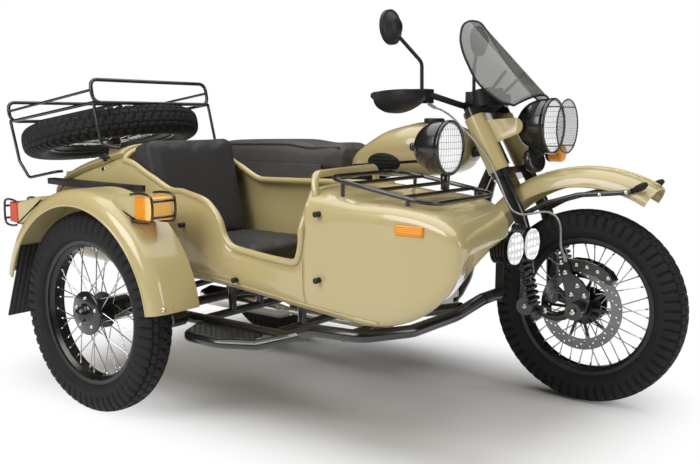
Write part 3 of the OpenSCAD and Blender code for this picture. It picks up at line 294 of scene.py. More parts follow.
braid, feed, place = finish("braided_steel", Metallic=1.0, Roughness=0.38)
strands = place.node("TexWave", {"wave_type": "BANDS"}, {"Vector": place, "Scale": 260.0, "Distortion": 3.0})
feed("Base Color", tint(strands, grey(0.32), grey(0.72)))
feed("Normal", relief(strands, 0.0006))
hose_d = 0.0075
hose_route = smooth_line(front([
    (-552, -206, 712), (-530, -204, 700), (-494, -198, 686), (-458, -191, 662), (-424, -186, 628), (-373, -180, 580),
    (-315, -174, 507), (-273, -171, 430), (-247, -173, 378), (-219, -175, 341), (-184, -173, 329), (-150, -169, 334),
    (-121, -164, 341), (-92, -156, 342), (-69, -148, 329), (-56, -140, 300), (-58, -126, 262), (-62, -112, 222),
    (-54, -102, 190), (-47, -97, 166)]), 110)
crown = bpy.data.curves.new("brake_hose", "CURVE")
crown.dimensions, crown.bevel_depth, crown.bevel_resolution, crown.use_fill_caps = "3D", hose_d / 2, 3, True
spline = crown.splines.new("POLY")
spline.points.add(len(hose_route) - 1)
spline.points.foreach_set("co", np.c_[hose_route, np.ones(len(hose_route))].ravel())
hose = bpy.data.objects.new("brake_hose", crown)
bpy.context.scene.collection.objects.link(hose)
crown.materials.append(braid)
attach(hose, "steering")
crimps = piece("hose_crimps", *joined(tube(hose_route[:5], 0.0062), tube(hose_route[-5:], 0.0062)), braid, "steering",
               "steel")

# Frame, chassis and racks
# Round steel tubes, brazed and welded, sprayed with gloss black enamel. The motorcycle's cradle, the sidecar's
# chassis, the swinging arms, the leading-link fork and the wire racks share it.


def clouded(name, cloud, low, high, rough, grain, **constants):
    """Finish whose colour and roughness follow one cloudy noise, with a fine grain in relief."""
    made, feed, place = finish(name, **constants)
    noise = mottle(place, *cloud)
    feed("Base Color", tint(noise, low, high))
    feed("Roughness", rough[0] + noise * rough[1])
    feed("Normal", relief(mottle(place, *grain[:2]), *grain[2:]))
    return made


enamel = clouded("black_enamel", (9.0, 5.0), grey(0.008), grey(0.022, 0.05), (0.16, 0.2), (240.0, 1.0, 0.0002, 0.35),
                 Coat_Weight=0.6, Coat_Roughness=0.08)


def dress(coat, *names, crease=44):
    """Gives CAD nodes a finish, and shades them smooth up to a crease angle in degrees."""
    for name in names:
        made = nodes[name]
        if made.material_slots:
            made.material_slots[0].material = coat
        else:
            made.data.materials.append(coat)
        made.data.polygons.foreach_set("use_smooth", [True] * len(made.data.polygons))
        made.modifiers.new("welded", "WELD").merge_threshold = 0.00002
        made.modifiers.new("creased", "EDGE_SPLIT").split_angle = np.radians(crease)


dress(enamel, "frame_tubes", "sidecar_chassis", "rear_swing_arm", "sidecar_swing_arm", "fork", "fender_braces")
dress(enamel, "nose_rack", "luggage_rack", crease=50)

# Engine
# Flat twin: a cast alloy crankcase with a finned barrel on each side, bead-blasted and left bare. The intakes and
# filter boxes are black, and the exhaust is bright steel that has blued a little at the ports.
casting = clouded("cast_alloy", (14.0, 4.0), grey(0.36), grey(0.55, 0.02), (0.36, 0.28), (420.0, 2.0, 0.0005, 0.5),
                  Metallic=1.0)
dress(casting, "engine_case", "cylinders", crease=30)
bright, feed, place = finish("bright_steel", Metallic=1.0, Roughness=0.18)
heat = mottle(place, 6.0, 2.0)
feed("Base Color", tint(heat, (0.62, 0.58, 0.5, 1), (0.78, 0.77, 0.75, 1)))
feed("Roughness", 0.12 + mottle(place, 60.0) * 0.16)
dress(bright, "exhaust")
plastic, feed, place = finish("black_plastic", Roughness=0.42, Specular_IOR_Level=0.3)
speck = mottle(place, 700.0, 2.0)
feed("Base Color", tint(mottle(place, 12.0, 4.0), grey(0.012), grey(0.026)))
feed("Roughness", 0.34 + speck * 0.2)
feed("Normal", relief(speck, 0.0003, 0.4))
dress(plastic, "intakes")

# Fuel tank
# Pressed from two steel halves, seam-welded underneath, filled and sprayed sand with a clear coat. A rubber knee pad is
# glued to each side, a black line runs along the foot of each flank and the filler cap stands on top.
sand, feed, place = finish("sand_paint", Roughness=0.3, Coat_Weight=0.8, Coat_Roughness=0.06)
shade = mottle(place, 2.6, 3.0)
peel = mottle(place, 330.0, 1.0)
feed("Base Color", tint(shade, (0.495, 0.402, 0.186, 1), (0.535, 0.436, 0.208, 1)))
feed("Roughness", 0.24 + mottle(place, 30.0, 4.0) * 0.14)
feed("Normal", relief(peel, 0.00025, 0.3))
soot = clouded("black_rubber", (26.0, 5.0), grey(0.008), grey(0.022, 0.03), (0.5, 0.25), (500.0, 2.0, 0.0004, 0.5),
               Specular_IOR_Level=0.22)


def eased(x, stations, values):
    """Smooth curve through values at stations that never overshoots: each slope is a weighted harmonic mean of the
    steps beside it, and zero where they change sign."""
    xs, ys = np.asarray(stations, float), np.asarray(values, float)
    h = np.diff(xs)
    d = np.diff(ys) / h
    same = d[1:] * d[:-1] > 0
    before, after = np.where(same, d[:-1], 1.0), np.where(same, d[1:], 1.0)
    w, v = 2 * h[1:] + h[:-1], h[1:] + 2 * h[:-1]
    slope = np.concatenate([d[:1], np.where(same, (w + v) / (w / before + v / after), 0.0), d[-1:]])
    i = np.clip(np.searchsorted(xs, x, side="right") - 1, 0, len(xs) - 2)
    t = (x - xs[i]) / h[i]
    return ((1 + 2 * t) * (1 - t) ** 2 * ys[i] + t * (1 - t) ** 2 * h[i] * slope[i]
            + t * t * (3 - 2 * t) * ys[i + 1] + t * t * (t - 1) * h[i] * slope[i + 1])


def curl(v, e):
    """Signed power: with it, cosine and sine trace a squared oval."""
    return np.sign(v) * np.abs(v) ** e


def capped(rows, cols):
    """Faces of rings joined row by row and closed by a face at each end."""
    last = (rows - 1) * cols
    return quads(rows, cols, wrap_cols=True) + [list(range(cols)), list(range(last + cols - 1, last - 1, -1))]


tank_x = np.array((470, 505, 580, 680, 790, 890, 960, 1000))
tank_share = np.array((0.36, 0.68, 0.91, 1, 0.97, 0.85, 0.64, 0.34))
tank_low = np.array((430, 428, 424, 424, 428, 440, 462, 500))
tank_top = np.array((474, 520, 572, 620, 640, 636, 612, 578))


def tank_skin(x, a, swell=0.0):
    """Tank: squared ovals across X whose half width, foot and top follow smooth lines along the tank."""
    half, low, top = (eased(x, tank_x, v) for v in (tank_share * 165, tank_low, tank_top))
    return bike(np.stack(np.broadcast_arrays(x, (half + swell) * curl(np.cos(a), 0.72),
                                             (low + top) / 2 + ((top - low) / 2 + swell) * curl(np.sin(a), 0.72)), -1))


x = np.concatenate([np.linspace(470, 505, 8), np.linspace(505, 960, 60)[1:], np.linspace(960, 1000, 8)[1:]])[:, None]
a = np.linspace(0, 2 * np.pi, 97)[:-1][None]
tank = piece("tank_shell", tank_skin(x, a), turned_over(capped(len(x), 96)), sand, "chassis", "paint")
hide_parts("fuel_tank")


def tank_angle(x, z):
    """Angle on the tank's flank where its skin is at a height."""
    low, top = (eased(x, tank_x, v) for v in (tank_low, tank_top))
    return np.arcsin(curl(np.clip((z - (low + top) / 2) / ((top - low) / 2), -1, 1), 1 / 0.72))


def thick(made, thickness, way):
    """Gives a sheet its thickness, outwards where way is 1 and inwards where it is -1."""
    wall = made.modifiers.new("thickness", "SOLIDIFY")
    wall.thickness, wall.offset = thickness, way


x = np.linspace(512, 988, 70)[:, None]
band = tank_angle(x, 473 + (x - 565) * 0.09 + np.linspace(-5, 5, 5)[None])
for side, a, flip in (("left", band, -1), ("right", np.pi - band, 1)):
    thick(piece(side + "_tank_line", tank_skin(x, a), [q[::flip] for q in quads(70, 5)], soot, "chassis", "rubber"),
          0.0012, 1)
x = np.linspace(540, 790, 40)[:, None]
crest = np.arccos(curl(np.linspace(9, -9, 7)[None] / eased(x, tank_x, tank_share * 165), 1 / 0.72))
thick(piece("tank_crest_strip", tank_skin(x, crest), turned_over(quads(40, 7)), soot, "chassis", "rubber"), 0.004, 1)


def knee_pad(share, turn):
    """Oval pad on the tank's flank: a flat dome out from the skin, with long ribs pressed into it."""
    x, z = 688 + 76 * share * np.cos(turn), 488 + 37 * share * np.sin(turn)
    swell = 9 * (1 - share ** 6) * (1 - 0.22 * (np.sin((z - 488) * 0.42) > 0.3)) + 0.6
    return tank_skin(x, tank_angle(x, z)), swell / 1000


share, turn = np.linspace(0.02, 1, 26)[:, None], np.linspace(0, 2 * np.pi, 73)[:-1][None]
skin, swell = knee_pad(share, turn)
for side, flip in (("left", 1), ("right", -1)):
    points = skin + swell[..., None] * np.array((0, 1, 0))
    points = (points - REAR_AXLE) * np.array((1, flip, 1)) + REAR_AXLE
    made = piece(side + "_knee_pad", points, [q[::-flip] for q in capped(26, 72)], soot, "chassis", "rubber")
    if side == "left":
        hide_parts("knee_pads")


def turned(profile, place, axis, sides=40):
    """Points and faces of a turned shape: rings at millimetres along an axis from a place, each with its radius,
    closed at both ends."""
    axis = np.asarray(axis, float) / np.linalg.norm(axis)
    e = np.cross(axis, (0, 0, 1) if abs(axis[2]) < 0.9 else (0, 1, 0))
    e /= np.linalg.norm(e)
    f = np.cross(axis, e)
    along, radius = np.asarray(profile, float).T[:, :, None, None] / 1000
    a = 2 * np.pi * np.arange(sides)[None, :, None] / sides
    ring = np.asarray(place) + along * axis + radius * (e * np.cos(a) + f * np.sin(a))
    return ring.reshape(-1, 3), turned_over(capped(len(profile), sides))


piece("filler_cap", *turned([(-6, 36), (6, 38), (8, 40), (22, 40), (25, 37), (26, 30), (24, 14), (24, 0.5)],
                            bike((820, 0, 634)), (0, 0, 1)), plastic, "chassis", "black_paint")

# Fenders
# Deep-drawn steel sheets in the same sand paint, their edges rolled over a wire, each on posts or stays. The front
# one has two pressed ribs along it and a black brace each side that ends in a rubber tip.
dress(sand, "front_fender", "rear_fender", "sidecar_fender", "fork_covers", "cockpit_rail", crease=30)


def arc(hub, radius, y, start, end, count=72):
    """Arc about an axle, in degrees from straight ahead over the top, at a distance from the wheel's plane."""
    a = np.radians(np.linspace(start, end, count))
    return np.asarray(hub) + np.stack([radius * np.cos(a), np.full(count, y), radius * np.sin(a)], 1) / 1000


front_hub, rear_hub, car_hub = front((0, 0, 0)), bike((0, 0, 0)), car((171, 0, 0))
piece("front_fender_ribs", *joined(*(tube(arc(front_hub, 493, y, 63, 147), 0.005, 10) for y in (-22, 22)),
                                   *(tube(arc(front_hub, 431, y, 61, 150), 0.004, 10) for y in (-80, 80))),
      sand, "steering", "paint")
piece("rear_fender_edges", *joined(*(tube(arc(rear_hub, 337, y, 20, 172), 0.004, 10) for y in (-90, 90))), sand,
      "chassis", "paint")
piece("sidecar_fender_edges", *joined(tube(arc(car_hub, 371, -90, 8, 166), 0.005, 10),
                                      tube(arc(car_hub, 363, 82, 8, 166), 0.004, 10)), sand, "chassis", "paint")
piece("brace_tips", *joined(*(tube(front([(166, y, 425), (178, y, 430), (182, y, 432), (204, y, 444), (216, y, 452)]),
                                   (0.0092, 0.0092, 0.0118, 0.0125, 0.007)) for y in (-91, 91))),
      soot, "steering", "rubber")


def bolt_heads(places, axis, radius):
    """Hexagon heads with a rounded top, standing along an axis."""
    return joined(*(turned([(-1, radius * 1.3), (1, radius * 1.3), (1.4, radius), (radius * 0.8, radius),
                            (radius, radius * 0.75)], place, axis, 6) for place in places))


stay_bolts = [front((x, y, z)) for y in (-99, 99) for x, z in ((-206, 325), (60, 407), (150, 420))]
piece("fender_bolts", *bolt_heads(stay_bolts, (0, -1, 0), 6), bright, "steering", "steel")
post_bolts = car([(582, -60, 74), (580, -30, 70), (-237, -50, 116)])
piece("sidecar_fender_bolts", *bolt_heads(post_bolts, (1, 0, 0.1), 7), bright, "chassis", "steel")

# Struts
# A damper tube with a wound spring steel coil round it and a rubber-bushed eye at each end, sprayed black.


def strut(low, high, coil):
    """Damper turned about the line between its eyes, a coil as a helix round it, and an eye across each end."""
    low, high = np.asarray(low), np.asarray(high)
    length = np.linalg.norm(high - low) * 1000
    ahead = (high - low) / np.linalg.norm(high - low)
    e = np.cross(ahead, (0, 1, 0))
    f = np.cross(ahead, e)
    t = np.linspace(0, 1, 300)[:, None]
    spin = 2 * np.pi * 8.5 * t
    helix = low + (high - low) * (0.15 + 0.55 * t) + coil / 1000 * (e * np.cos(spin) + f * np.sin(spin))
    damper = turned([(0, 6), (0.1 * length, 7), (0.12 * length, coil * 1.12), (0.14 * length, coil * 1.12),
                     (0.145 * length, coil * 0.6), (0.7 * length, coil * 0.6), (0.705 * length, coil * 1.15),
                     (0.73 * length, coil * 1.15), (0.74 * length, coil * 0.9), (0.92 * length, coil * 0.86),
                     (length, 8)], low, ahead, 28)
    eye = [(-13, 12), (-13, 17), (-10, 18), (10, 18), (13, 17), (13, 12)]
    eyes = [turned(eye, p, (0, 1, 0), 24) for p in (low, high)]
    return joined(damper, tube(helix, 0.0048, 10), *eyes)


front_struts = piece("front_struts", *joined(*(strut(front((-117.5, y, -19)), front((-200.2, y, 281.2)), 21)
                                               for y in (-173, 173))), enamel, "steering", "black_paint")
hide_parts("front_shocks")
rear_struts = piece("rear_struts", *joined(*(strut(bike((64, y, 30)), bike((96, y, 320.9)), 25) for y in (-174, 174))),
                    enamel, "chassis", "black_paint")
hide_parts("rear_shocks")

# Front brake caliper
# A black four-piston caliper in two bolted halves over the disc, on a plate that hangs from the axle. The bolts are
# bright steel, and the halves are milled with chamfered edges.


def slab(outline, low, high):
    """Flat plate: an outline of x and z between two distances along Y, its points taken clockwise by its area."""
    flat = np.asarray(outline, float)
    n = len(flat)
    after = np.roll(flat, -1, 0)
    if (flat[:, 0] * after[:, 1] - flat[:, 1] * after[:, 0]).sum() > 0:
        flat = flat[::-1]
    points = np.vstack([np.c_[flat[:, 0], np.full(n, y), flat[:, 1]] for y in (low, high)])
    i = np.arange(n)
    sides = np.stack([i, (i + 1) % n, (i + 1) % n + n, i + n], 1).tolist()
    return points, [list(range(n))[::-1], list(range(n, 2 * n))] + sides


def chamfered(made, width):
    """Bevels a piece's sharp edges."""
    edge = made.modifiers.new("chamfer", "BEVEL")
    edge.width, edge.segments, edge.limit_method = width, 2, "ANGLE"
    return made


def placed(part, where):
    """Moves a part's points, in millimetres, to where a frame's function puts them."""
    return where(part[0]), part[1]


half = [(-58, 168), (-30, 177), (16, 177), (64, 164), (104, 140), (122, 114), (112, 98), (92, 102), (60, 122),
        (14, 132), (-30, 132), (-56, 142)]
bridge = [(-40, 160), (-30, 177), (16, 177), (64, 164), (84, 152), (78, 146), (60, 156), (14, 166)]
hanger = [(-82, 168), (-58, 184), (-38, 166), (-26, 128), (14, 104), (40, 70), (42, 34), (26, -22), (0, -32),
          (-26, -24), (-40, 6), (-46, 52), (-62, 110)]
plates = ((half, -86, -67), (half, -57, -38), (bridge, -80, -44), (hanger, -98, -88))
caliper = piece("caliper_halves", *joined(*(placed(slab(*plate), front) for plate in plates)), enamel, "steering",
                "black_paint", False)
chamfered(caliper, 0.0025)
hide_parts("front_caliper")
hanger_bolts = [(-66, -98, 160), (-50, -98, 126), (-4, -98, 84), (-24, -98, 50), (22, -98, 52), (-6, -98, -12)]
half_bolts = [(-14, -86, 156), (24, -86, 152), (62, -86, 140), (100, -86, 122)]
piece("caliper_bolts", *joined(
    bolt_heads(front(hanger_bolts), (0, -1, 0), 8), bolt_heads(front(half_bolts), (0, -1, 0), 6),
    bolt_heads(front([(-105, -132, -12), (-178, -138, -5), (0, -144, 0)]), (0, -1, 0), 9),
    bolt_heads(front([(-178, 138, -5), (0, 144, 0)]), (0, 1, 0), 9)), bright, "steering", "steel")

# Tyres
# Block-tread 4.00-19 tyres, moulded black rubber: a zigzag centre row, a row beside it and lugs over each shoulder.
# The wheels carry one each, and the spare's lies with its wheel on the trunk lid.
rubber = clouded("tyre_rubber", (18.0, 5.0), grey(0.009), grey(0.025, 0.03), (0.55, 0.25), (300.0, 3.0, 0.0005, 0.5),
                 Specular_IOR_Level=0.22)
lugs, lug_depth = 60, 0.0085
tyre_mid, tyre_half = 0.292, 0.054


def ramp(v, edge):
    """Rises smoothly from 0 at v = 0 to 1 at v = edge."""
    t = np.clip(v / edge, 0, 1)
    return t * t * (3 - 2 * t)


def tyre_skin(turn, across):
    """Tyre about the Y axis: a squared ring section, with tread grooves sunk towards the section's middle. Three rows
    of blocks each side are parted by grooves along the tread and, half a block apart from row to row, across it. Two
    fine ridges ring each side wall, and the bead is held in behind the rim's flange."""
    out, side = curl(np.cos(across), 0.72), curl(np.sin(across), 0.72)
    w = np.abs(side) * tyre_half
    phase = turn * lugs / (2 * np.pi) + np.where(side > 0, 0.25, 0.0) + 0.0 * across
    zigzag = 0.0022 * np.sin(2 * np.pi * phase)
    row = np.where(w < 0.0185 + zigzag, 0.0, np.where(w < 0.0385, 0.5, 0.12))
    gap = np.where(w < 0.0385, 0.11, 0.16)
    off = np.abs((phase + row) % 1.0 - 0.5)
    blocks = ramp(0.5 - gap - off + 0.05, 0.05)
    along = np.minimum(ramp(np.abs(w - 0.0185 - zigzag) - 0.0012, 0.0012), ramp(np.abs(w - 0.0385) - 0.001, 0.001))
    tread = ramp(np.cos(across) + 0.10, 0.12)
    sunk = lug_depth * tread * (1 - blocks * np.where(w < 0.0455, along, 1.0))
    ridge = 0.0012 * (np.exp(-((across - 1.9) / 0.03) ** 2) + np.exp(-((across + 1.9) / 0.03) ** 2)
                      + np.exp(-((across - 2.25) / 0.025) ** 2) + np.exp(-((across + 2.25) / 0.025) ** 2))
    share = 1 - (sunk - ridge) / tyre_half
    r = tyre_mid + tyre_half * out * share
    y = np.where(r < 0.249, np.clip(side * tyre_half, -0.0335, 0.0335), side * share * tyre_half)
    return np.stack([r * np.cos(turn), y + 0 * turn, r * np.sin(turn)], -1)


turn = np.linspace(0, 2 * np.pi, lugs * 10 + 1)[:-1][:, None]
wall = np.linspace(1.66, np.pi, 14)
across = np.concatenate([-wall[::-1], np.linspace(-1.6, 1.6, 58), wall[:-1]])
tread = tyre_skin(turn, across[None])
tread_faces = turned_over(quads(len(turn), len(across), wrap_rows=True, wrap_cols=True))
lid_turn = np.radians(12)
flat_spare = np.array(((1, 0, 0), (0, 0, 1), (0, -1, 0)), float)
tipped = np.array(((np.cos(lid_turn), 0, -np.sin(lid_turn)), (0, 1, 0), (np.sin(lid_turn), 0, np.cos(lid_turn))))
spare_hub = car((-276, 432.5, 590))
upright = np.eye(3)
wheels = (("front", front_hub, upright, "front_wheel"), ("rear", rear_hub, upright, "rear_wheel"),
          ("sidecar", car_hub, upright, "sidecar_wheel"), ("spare", spare_hub, tipped @ flat_spare.T, "trunk_lid"))
for name, hub, stand, body in wheels:
    made = piece(name + "_tread", tread @ stand.T + hub, tread_faces, rubber, body, "tyre")
    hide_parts(name + "_tyre")

# Wheels
# Black steel rims laced with bright spokes to black hubs; the front disc is drilled stainless steel on a black spider.
for name, hub, _, _ in wheels:
    wheel, feed, place = finish(name + "_wheel_finish", Roughness=0.25)
    at = place.node("Mapping", {"vector_type": "POINT"}, {"Vector": place, "Location": tuple(-hub)})
    if name == "spare":
        at = at.node("VectorRotate", {"rotation_type": "Y_AXIS"}, {"Vector": at, "Angle": lid_turn})
    along, wide, high = at.parts() if name != "spare" else [at.parts()[k] for k in (0, 2, 1)]
    r = (along * along + high * high) ** 0.5
    spoke = (r > 0.0635) * (r < 0.212) * (wide.math("ABSOLUTE", wide) < 0.037)
    disc_side = 1.0 if name == "rear" else -1.0
    disc = (r > 0.1) * ((wide * disc_side) > 0.0585) * (r < 0.16)
    metal = spoke.math("MAXIMUM", spoke, disc)
    wear = mottle(place, 40.0, 4.0)
    feed("Base Color", tint(disc, tint(spoke, grey(0.012), grey(0.6)), grey(0.2)))
    feed("Metallic", metal)
    feed("Roughness", 0.18 + wear * 0.18)
    dress(wheel, name + "_wheel", crease=35)

# Hub cap and spoke nipples
# A black pressed cap with five bright bolts closes the sidecar wheel's hub, and each spoke ends in a nickelled nipple.
cap = turned([(34, 70), (37, 75), (42, 75), (45, 70), (46, 36), (48, 27), (66, 25), (75, 20), (79, 10), (79.5, 0.5)],
             car_hub, (0, -1, 0), 56)
piece("hub_cap", *cap, enamel, "sidecar_wheel", "wheel_black")
ring_of_five = np.radians(90 + 72 * np.arange(5))
piece("hub_cap_bolts", *bolt_heads(car_hub + np.stack([0.052 * np.cos(ring_of_five), np.full(5, -0.0455),
                                                       0.052 * np.sin(ring_of_five)], 1), (0, -1, 0), 5.5),
      bright, "sidecar_wheel", "steel")
spokes, nipple_r, flange_r = 36, 0.2255, 0.056
i = np.arange(spokes)
a = 2 * np.pi * (i + 0.5) / spokes
b = a + np.where((i // 2) % 2, 1, -1) * np.radians(32)
sides = np.where(i % 2, 1, -1)
heads = np.stack([np.cos(a) * nipple_r, sides * 0.005, np.sin(a) * nipple_r], 1)
feet = np.stack([np.cos(b) * flange_r, sides * 0.030, np.sin(b) * flange_r], 1)
inward = feet - heads
inward /= np.linalg.norm(inward, axis=1)[:, None]
for name, hub, stand, body in wheels:
    lines = np.stack([heads, heads + 0.007 * inward, heads + 0.016 * inward], 1) @ stand.T + hub
    piece(name + "_nipples", *joined(*(tube(line, (0.004, 0.004, 0.003), 6) for line in lines)), bright, body, "steel")

# Headlamp
# A black pressed bowl with a rolled rim, a fluted glass lit from behind, and a stone guard of fine wire mesh on a
# ring that stands off the rim on four pegs. A disc horn hangs under it.
glass, feed, place = finish("lit_fluted_glass", Roughness=0.1, Emission_Strength=0.8)
_, wide, tall = place.parts()
flutes = (wide * 520.0).math("SINE", wide * 520.0) * 0.5 + 0.5
rungs = (tall * 330.0).math("SINE", tall * 330.0) > 0.93
feed("Base Color", tint(flutes, grey(0.22), grey(0.4)))
feed("Emission Color", tint(rungs, tint(flutes, grey(0.5), grey(1.0)), grey(0.3)))
feed("Normal", relief(flutes, 0.0015))
lamp_face = front((-157.5, 0, 634))
ahead = np.array((1.0, 0, 0))


def bowl(back, depth, radius):
    """Profile of a lamp's bowl: a squashed quarter round from its back to its rim."""
    a = np.radians(np.linspace(0, 90, 19))
    return [(float(-back - depth * c ** 0.8), float(max(radius * t, 0.5)))
            for c, t in zip(np.cos(a) + 1e-9, np.sin(a))]


rim = [(-6, 98.8), (-5, 101), (6, 101), (9, 98), (9, 94), (3, 92), (-4, 91), (-4, 0.5)]
horn = [(0, 10), (2, 42), (8, 45), (30, 45), (34, 40), (30, 26), (32, 12), (32, 0.5)]
lamp_bowl = piece("headlamp_bowl", *joined(
    turned(bowl(12, 118, 98.8) + rim, lamp_face, ahead, 64),
    tube(front([(-253.5, y, 634) for y in (-100, -50, 0, 50, 100)]), 0.016, 20),
    turned(horn, front((-230, -16, 506)), (0.9, -0.3, 0.25), 36),
    tube(front([(-222, -14, 514), (-218, -6, 545), (-216, 0, 575)]), 0.008)), enamel, "steering", "black_paint")
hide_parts("headlamp")
lens = [(-3, 0.5), (-3, 91), (3, 90), (8, 70), (11, 40), (12, 0.5)]
piece("headlamp_glass", *turned(lens, lamp_face, ahead, 64), glass, "steering", "black_paint")
a = np.linspace(0, 2 * np.pi, 65)
ring = lamp_face + np.stack([np.full(65, 0.056), 0.095 * np.cos(a), 0.095 * np.sin(a)], 1)
pegs = [tube(lamp_face + np.array([(f, 0.097 * np.cos(t), 0.097 * np.sin(t)) for f in (0.002, 0.03, 0.056)]),
             0.0022, 8) for t in np.radians((45, 135, 225, 315))]
gap = np.arange(-10, 11) * 0.0088
chord = np.sqrt(0.094 ** 2 - gap ** 2)
slope = 0.7071
wires = [tube(lamp_face + np.array([(lift, (o - w * k) * slope, (o * k + w) * slope) for o in (-c, 0, c)]), 0.0007, 5)
         for lift, k in ((0.056, 1), (0.0572, -1)) for w, c in zip(gap, chord)]
piece("headlamp_guard", *joined(tube(ring, 0.0028, 8), *pegs, *wires), enamel, "steering", "black_paint")

# Spot lamp
# A black bowl with a fluted glass like the headlamp's, pivoted on a short post over the nose rack, with a wing knob
# behind.
spot_face = car((1292, 430.5, 575))
rim = [(-4, 80), (-3, 82), (5, 82), (8, 79), (8, 75), (2, 73), (-4, 72), (-4, 0.5)]
spot = piece("spot_bowl", *joined(
    turned(bowl(10, 100, 80) + rim, spot_face, ahead, 56),
    tube(car([(1280, 430.5, 451), (1280, 430.5, 470), (1280, 430.5, 515)]), (0.013, 0.013, 0.016), 20),
    turned([(-132, 0.5), (-132, 12), (-122, 14), (-118, 8), (-100, 8)], spot_face, ahead, 20)), enamel, "chassis",
    "black_paint")
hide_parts("spot_lamp")
lens = [(-3, 0.5), (-3, 72), (3, 71), (7, 52), (9, 30), (10, 0.5)]
piece("spot_glass", *turned(lens, spot_face, ahead, 56), glass, "chassis", "black_paint")

# Twin driving lamps
# Two finned cast housings on one bracket beside the nose, each with a flat face of bright diodes.
shell, feed, place = finish("diode_lamp", Roughness=0.3, Emission_Strength=1.25)
lit = place.parts()[0] > float(car((1373, 0, 0))[0])
cells = place.node("TexVoronoi", {"feature": "F1"}, {"Vector": place, "Scale": 42.0, "Randomness": 0.15})
feed("Base Color", tint(lit, grey(0.01), grey(0.2)))
feed("Emission Color", tint(lit, grey(0.0), tint(cells > 0.42, grey(1.0), grey(0.42))))
dress(shell, "twin_lamps", crease=35)

# Signals and tail lamp
# Ribbed amber lenses on black stalks at the fork and beside the tail, a round red stop lamp between, all moulded
# acrylic.


def ribbed_lens(name, colours, glow, **constants):
    """Acrylic with level ribs: a pair of colours for its face, and another for the light that comes through."""
    made, feed, place = finish(name, **constants)
    ribs = place.node("TexWave", {"bands_direction": "Z"}, {"Vector": place, "Scale": 60.0})
    feed("Base Color", tint(ribs, *colours))
    feed("Emission Color", tint(ribs, *glow))
    return made, feed, ribs


amber, feed, ribs = ribbed_lens("amber_lens", ((0.62, 0.2, 0.008, 1), (0.8, 0.32, 0.015, 1)),
                                ((0.6, 0.16, 0.0, 1), (0.85, 0.28, 0.01, 1)), Roughness=0.16, Emission_Strength=0.25)
feed("Normal", relief(ribs, 0.001))
signal_face = front((-223.5, 146, 532))
lens = [(0, 30), (2, 33), (44, 33), (52, 29), (56, 18), (57, 0.5)]
signal = piece("front_signal_lens", *turned(lens, signal_face, ahead, 40), amber, "steering", "amber")
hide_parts("front_signal")
piece("front_signal_stalk", *joined(
    tube(front([(-335, 130, 540), (-300, 136, 536), (-250, 142, 533), (-224, 146, 532)]), 0.009, 14),
    turned([(-12, 20), (-10, 30), (0, 34), (3, 34), (3, 30)], signal_face, ahead, 40)), plastic, "steering",
    "black_paint")
tail, feed, place = finish("tail_lamp_finish", Roughness=0.2)
along, wide, _ = place.parts()
wide = wide - float(REAR_AXLE[1])
wide = wide.math("ABSOLUTE", wide)
stop = (along < float(bike((-425.5, 0, 0))[0])) * (wide < 0.07)
turn_lens = wide > 0.0985
feed("Base Color", tint(turn_lens, tint(stop, grey(0.012), (0.35, 0.008, 0.006, 1)), (0.75, 0.17, 0.01, 1)))
dress(tail, "tail_lamp", crease=30)

# Sidecar fender lamps
# Sand-painted pods with a black joint line, each with a wrapped lens, amber with a lit face ahead and red behind, and
# a black wire guard round it.
red = ribbed_lens("red_lens", ((0.45, 0.02, 0.008, 1), (0.62, 0.07, 0.012, 1)),
                  ((0.5, 0.02, 0.0, 1), (0.7, 0.1, 0.01, 1)), Roughness=0.16, Emission_Strength=0.12)[0]
clear = ribbed_lens("clear_lens", ((0.85, 0.36, 0.05, 1), (0.95, 0.6, 0.2, 1)),
                    ((0.9, 0.45, 0.08, 1), (1.0, 0.78, 0.35, 1)), Roughness=0.12, Emission_Strength=0.2)[0]


def on_hub(p):
    """Place beside the sidecar wheel, in millimetres from its axle."""
    return car(np.asarray(p, float) + (171, 0, 0))


front_pod = [(138, 392), (196, 352), (232, 344), (268, 342), (270, 414), (206, 412)]
rear_pod = [(-232, 372), (-330, 290), (-352, 276), (-382, 276), (-384, 352), (-262, 380)]
pods = piece("lamp_pods", *joined(*(placed(slab(pod, -43, 43), on_hub) for pod in (front_pod, rear_pod))), sand,
             "chassis", "paint", False)
chamfered(pods, 0.006)
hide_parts("fender_lamps")
lens_boxes = {"front_amber_lens": ([(268, 342), (318, 340), (318, 414), (268, 414)], amber, "amber"),
              "front_clear_lens": ([(318, 340), (348, 341), (350, 412), (318, 414)], clear, "screen"),
              "rear_red_lens": ([(-432, 280), (-382, 276), (-382, 352), (-430, 352)], red, "red_lamp")}
for name, (outline, coat, slot) in lens_boxes.items():
    chamfered(piece(name, *placed(slab(outline, -44, 44), on_hub), coat, "chassis", slot, False), 0.004)
loops = [((262, 420), (300, 424), (350, 420), (362, 400), (362, 356), (350, 336), (300, 332), (262, 336)),
         ((-376, 358), (-410, 362), (-440, 358), (-448, 340), (-448, 290), (-436, 272), (-400, 268), (-376, 272))]
guards = [tube(on_hub(smooth_line([(p, y, q) for p, q in loop], 40)), 0.0042, 8) for y in (-52, 40) for loop in loops]
bars = [tube(on_hub([(x, y, z) for y in (-52, -6, 40)]), 0.0042, 8)
        for x, z in ((362, 402), (362, 352), (-448, 336), (-448, 292))]
piece("pod_guards", *joined(*guards, *bars), enamel, "chassis", "black_paint")
pod_lines = [tube(on_hub([(x, -44, z) for x, z in p + p[:1]]), 0.0022, 6) for p in (front_pod[:4], rear_pod[:4])]
piece("pod_joint_lines", *joined(*pod_lines), soot, "chassis", "rubber")

